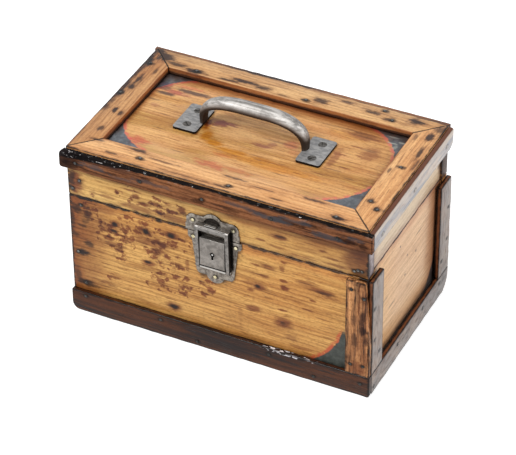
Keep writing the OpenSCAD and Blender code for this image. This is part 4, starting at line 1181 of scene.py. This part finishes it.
# %% [markdown]
# ## Handle, lock and other iron
# The CAD solids of the metal parts already have the right shape, so a copy of each is taken as the
# start. Its triangles are merged into plain faces and its edges are rounded, because a rubbed edge
# catches the light, which a sharp one never does.

# %% Softened copies
def softened(node, width):
    """A merged copy of a CAD node with its sharp edges rounded."""
    mesh = nodes[node].data.copy()
    piece = bpy.data.objects.new("soft_" + node, mesh)
    mesh.name = piece.name
    scene.collection.objects.link(piece)
    pick(piece, "VERT", lambda vert: True)
    bpy.ops.mesh.remove_doubles(threshold=1e-6)
    bpy.ops.mesh.select_all(action="SELECT")
    bpy.ops.mesh.dissolve_limited(angle_limit=math.radians(2))
    close_edit()
    pick(piece, "EDGE", lambda edge: edge.calc_face_angle(0) > SMOOTH)
    bpy.ops.mesh.bevel(offset=width, segments=2, affect="EDGES", clamp_overlap=True)
    close_edit()
    return piece

# %% Touches on the handle and the nails
BLACK = (0.012, 0.01, 0.009)


def object_normal(g):
    return g.add("ShaderNodeTexCoord").outputs["Normal"]


def facing(g):
    """1 where a face looks straight along an axis, and less on rounded edges."""
    x, y, z = g.parts(g.vector("ABSOLUTE", object_normal(g)))
    return g.math("MAXIMUM", g.math("MAXIMUM", x, y), z)


def handle_patina_and_reflections(g, place, colour):
    """Long pale and dark bands on the grip are painted reflections. Its underside is painted brown and
    dark, patina with painted shade, and its feet are darker, with their edges and sides painted black
    as shade.
    """
    high = g.parts(object_normal(g))[2]
    reflected_bands = g.noise(place, (10, 420, 420), detail=3)
    colour = coats(g, colour, (reflected_bands, 0.48, 0.6, 0.55, (0.14, 0.13, 0.12)),
                   (reflected_bands, 0.44, 0.36, 0.45, (0.66, 0.64, 0.61)),
                   (high, 0.6, 0.35, 0.45, (0.18, 0.15, 0.13)),
                   (high, 0.35, 0.05, 1.0, (0.05, 0.035, 0.026)),
                   (high, -0.1, -0.5, 1.0, (0.03, 0.017, 0.01)), blend="MIX")
    worn = g.noise(place, (170, 330, 330), detail=3, roughness=0.6)
    plate = g.mix(g.band(worn, 0.36, 0.66), (0.23, 0.23, 0.235), (0.38, 0.373, 0.365))
    plate = coats(g, plate, (facing(g), 0.98, 0.8, 1.0, (0.03, 0.026, 0.022)), (high, 0.6, 0.3, 1.0, BLACK),
                  blend="MIX")
    return g.mix(g.band(g.parts(place)[2], 0.1803, 0.1795, 0.9), colour, plate)


def dark_rim(g, place, colour):
    """A nail's head is painted dark round its rim, as shade, so that it shines at its middle only."""
    return g.mix(g.band(facing(g), 0.998, 0.96), colour, (0.02, 0.017, 0.014))


def dust_and_sheen_nail(g, place, colour):
    """The strips' nails are dark iron. At the right end they are painted as pale as the strips round them:
    dust, with a painted sheen.
    """
    x, z = g.parts(place)[::2]
    dust_and_sheen = g.mix(g.band(z, 0.14, 0.15), (0.13, 0.125, 0.125), (0.42, 0.39, 0.35))
    return g.mix(g.band(x, 0.1535, 0.154, 0.8), dark_rim(g, place, colour), dust_and_sheen)

# %% Touches on the lock
def plate_edges(g, place, colour):
    """The lock's plates have black edges and rings of grime round their nails, a painted shadow at the
    right of the hasp, and a painted highlight on the front of the catch's tongue."""
    x, y, z = g.parts(place)
    rings = [((low[0] + high[0]) / 2 / MM, (low[2] + high[2]) / 2 / MM, 3.8, 3.8, 1)
             for node in ("lock_plate_nails", "catch_nails") for low, high in loose_boxes(node)]
    grimy = add_marks(g, place, "front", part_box("lock_plate_nails"), rings, 0.0)
    colour = g.mix(grimy, colour, BLACK)
    colour = g.mix(g.band(facing(g), 0.98, 0.85), colour, BLACK)
    beside = g.times(g.band(x, 0.0155, 0.0165), g.band(x, 0.0195, 0.0178))
    along = g.times(g.band(z, 0.097, 0.101), g.band(z, 0.143, 0.139))
    colour = g.mix(g.times(beside, along), colour, BLACK)
    tongue_highlight = g.times(g.band(y, -0.0925, -0.0935), g.band(facing(g), 0.85, 0.98))
    return g.mix(g.times(tongue_highlight, 0.8), colour, (0.6, 0.58, 0.55))


def case_shaded_sides(g, place, colour):
    """The sides of the lock case are painted black, as shade in the gaps beside the hasp's arms."""
    return g.mix(g.band(g.math("ABSOLUTE", g.parts(place)[0]), 0.0121, 0.0126), colour, BLACK)


def rubbed_edges_and_shaded_side(g, place, colour):
    """The hasp's edges are rubbed bright, and its right side is painted black as shade."""
    return coats(g, colour, (facing(g), 0.97, 0.85, 1.0, (0.34, 0.32, 0.3)),
                 (g.parts(object_normal(g))[0], 0.5, 0.8, 1.0, BLACK), blend="MIX")

# %% Metal finishes and softened parts
HANDLE_STEEL = metal("handle steel", (0.28, 0.265, 0.25), (0.52, 0.495, 0.47), 0.58, 70.0, 0.35,
                     shade=handle_patina_and_reflections)
PLATE_STEEL = metal("lock plate steel", (0.12, 0.1, 0.085), (0.37, 0.335, 0.29), 0.42, 210.0, 0.7,
                    shade=plate_edges)
CASE_STEEL = metal("lock case steel", (0.17, 0.155, 0.14), (0.32, 0.295, 0.27), 0.4, 130.0, 0.4,
                   shade=case_shaded_sides)
HASP_STEEL = metal("hasp steel", (0.13, 0.12, 0.11), (0.32, 0.3, 0.28), 0.52, 180.0, shade=rubbed_edges_and_shaded_side)
LOCK_STEEL = metal("lock steel", (0.09, 0.08, 0.07), (0.3, 0.28, 0.25), 0.42, 150.0)
KEY_STEEL = metal("key post steel", (0.5, 0.49, 0.47), (0.9, 0.88, 0.84), 0.25, 300.0, 0.1)
SCREW_STEEL = metal("screw steel", (0.05, 0.045, 0.04), (0.16, 0.15, 0.14), 0.4, 300.0)
NAIL_STEEL = metal("nail iron", (0.03, 0.029, 0.028), (0.22, 0.215, 0.21), 0.3, 420.0, 0.3, shade=dark_rim)
STRIP_NAIL_STEEL = metal("strip nail iron", (0.012, 0.011, 0.01), (0.1, 0.098, 0.095), 0.34, 420.0, 0.3,
                         shade=dust_and_sheen_nail)
BRASS = metal("rubbed brass", (0.36, 0.29, 0.13), (0.95, 0.88, 0.62), 0.24, 500.0, 0.2, shade=dark_rim)
HINGE_STEEL = metal("hinge steel", (0.1, 0.09, 0.08), (0.28, 0.26, 0.24), 0.45, 120.0)

SOFT_PARTS = [("handle", "lid", 0.5, HANDLE_STEEL, "handle_steel"),
              ("catch_plate", "lid", 0.3, PLATE_STEEL, "lock_steel"),
              ("lock_plate", "box", 0.3, PLATE_STEEL, "lock_steel"),
              ("lock_case", "box", 0.5, CASE_STEEL, "lock_steel"),
              ("lock_hasp", "hasp", 0.45, HASP_STEEL, "lock_steel"),
              ("board_nails", "box", 0.3, NAIL_STEEL, "nail_steel"),
              ("strip_nails", "box", 0.3, STRIP_NAIL_STEEL, "nail_steel"),
              ("lid_nails", "lid", 0.3, NAIL_STEEL, "nail_steel"),
              ("frame_nails", "lid", 0.3, NAIL_STEEL, "nail_steel"),
              ("fascia_nails", "lid", 0.3, STRIP_NAIL_STEEL, "nail_steel")]
for node, body, width, material, slot in SOFT_PARTS:
    made = softened(node, width * MM)
    finish_piece(made, material, body, node)
    print(made.name, len(made.data.polygons), "faces")

# %% Finishes of the CAD's own metal parts
FINISHES = {"nails": NAIL_STEEL, "screws": SCREW_STEEL, "hinge": HINGE_STEEL, "lock": LOCK_STEEL,
            "hasp": LOCK_STEEL, "key": KEY_STEEL, "bolt": BRASS}
for name, node in nodes.items():
    finish = next((FINISHES[word] for word in FINISHES if word in name), None)
    if name in ("catch_nails", "lock_plate_nails"):
        finish = BRASS
    if finish:
        node.data.materials.clear()
        node.data.materials.append(finish)
        print(name, "in", finish.name)

# %% [markdown]
# ## Floor and light
# The photograph is a studio shot on white. The floor and the world are white to the camera and to
# reflections, and light the chest at a plain level. Two large soft lamps give it form: one from the
# front left, one from the right, which makes the end of the chest shine.

# %% Floor and world
def white_to_eye(g, plain, shown, mirrored):
    """The strength of a white that lights things plainly, is shown brighter, and is mirrored."""
    seen = g.add("ShaderNodeLightPath").outputs
    glossy = g.math("MAXIMUM", seen["Is Glossy Ray"], seen["Is Transmission Ray"])
    strength = g.plus(plain, seen["Is Camera Ray"], shown - plain)
    return g.plus(strength, glossy, mirrored - plain)


FLOOR_SIZE, FLOOR_GAP = 12, 0.0004
floor_material, g, shader, place = new_material("studio floor")
shader.inputs["Base Color"].default_value = (0.75, 0.75, 0.75, 1)
shader.inputs["Roughness"].default_value = 0.9
shader.inputs["Emission Color"].default_value = (1, 1, 1, 1)
g.feed(shader.inputs["Emission Strength"], white_to_eye(g, 0.0, 0.6, 0.25))
bpy.ops.object.select_all(action="DESELECT")
bpy.ops.mesh.primitive_plane_add(size=FLOOR_SIZE, location=(0, 0, -FLOOR_GAP))
floor = bpy.context.object
floor.name = "studio_floor"
floor.data.materials.append(floor_material)

world = bpy.data.worlds.new("studio")
scene.world = world
world.use_nodes = True
g = Graph(world.node_tree)
background = world.node_tree.nodes["Background"]
background.inputs["Color"].default_value = (1, 1, 1, 1)
g.feed(background.inputs["Strength"], white_to_eye(g, 0.5, 1.0, 1.0))
print("on stage:", floor.name, "and the world", world.name)

# %% Lamps
CHEST_MIDDLE = Vector((0, 0, 0.1))


def softbox(name, place, size, power):
    """A square lamp that looks at the middle of the chest."""
    light = bpy.data.objects.new(name, bpy.data.lights.new(name, "AREA"))
    light.data.size = size
    light.data.energy = power
    scene.collection.objects.link(light)
    turn = (CHEST_MIDDLE - Vector(place)).to_track_quat("-Z", "Y").to_matrix().to_4x4()
    light.matrix_world = Matrix.Translation(Vector(place)) @ turn


softbox("key", (-0.7, -1.3, 2.0), 0.7, 36)
softbox("fill", (1.8, -0.2, 1.0), 0.8, 17)
print("lamps:", len(bpy.data.lights))
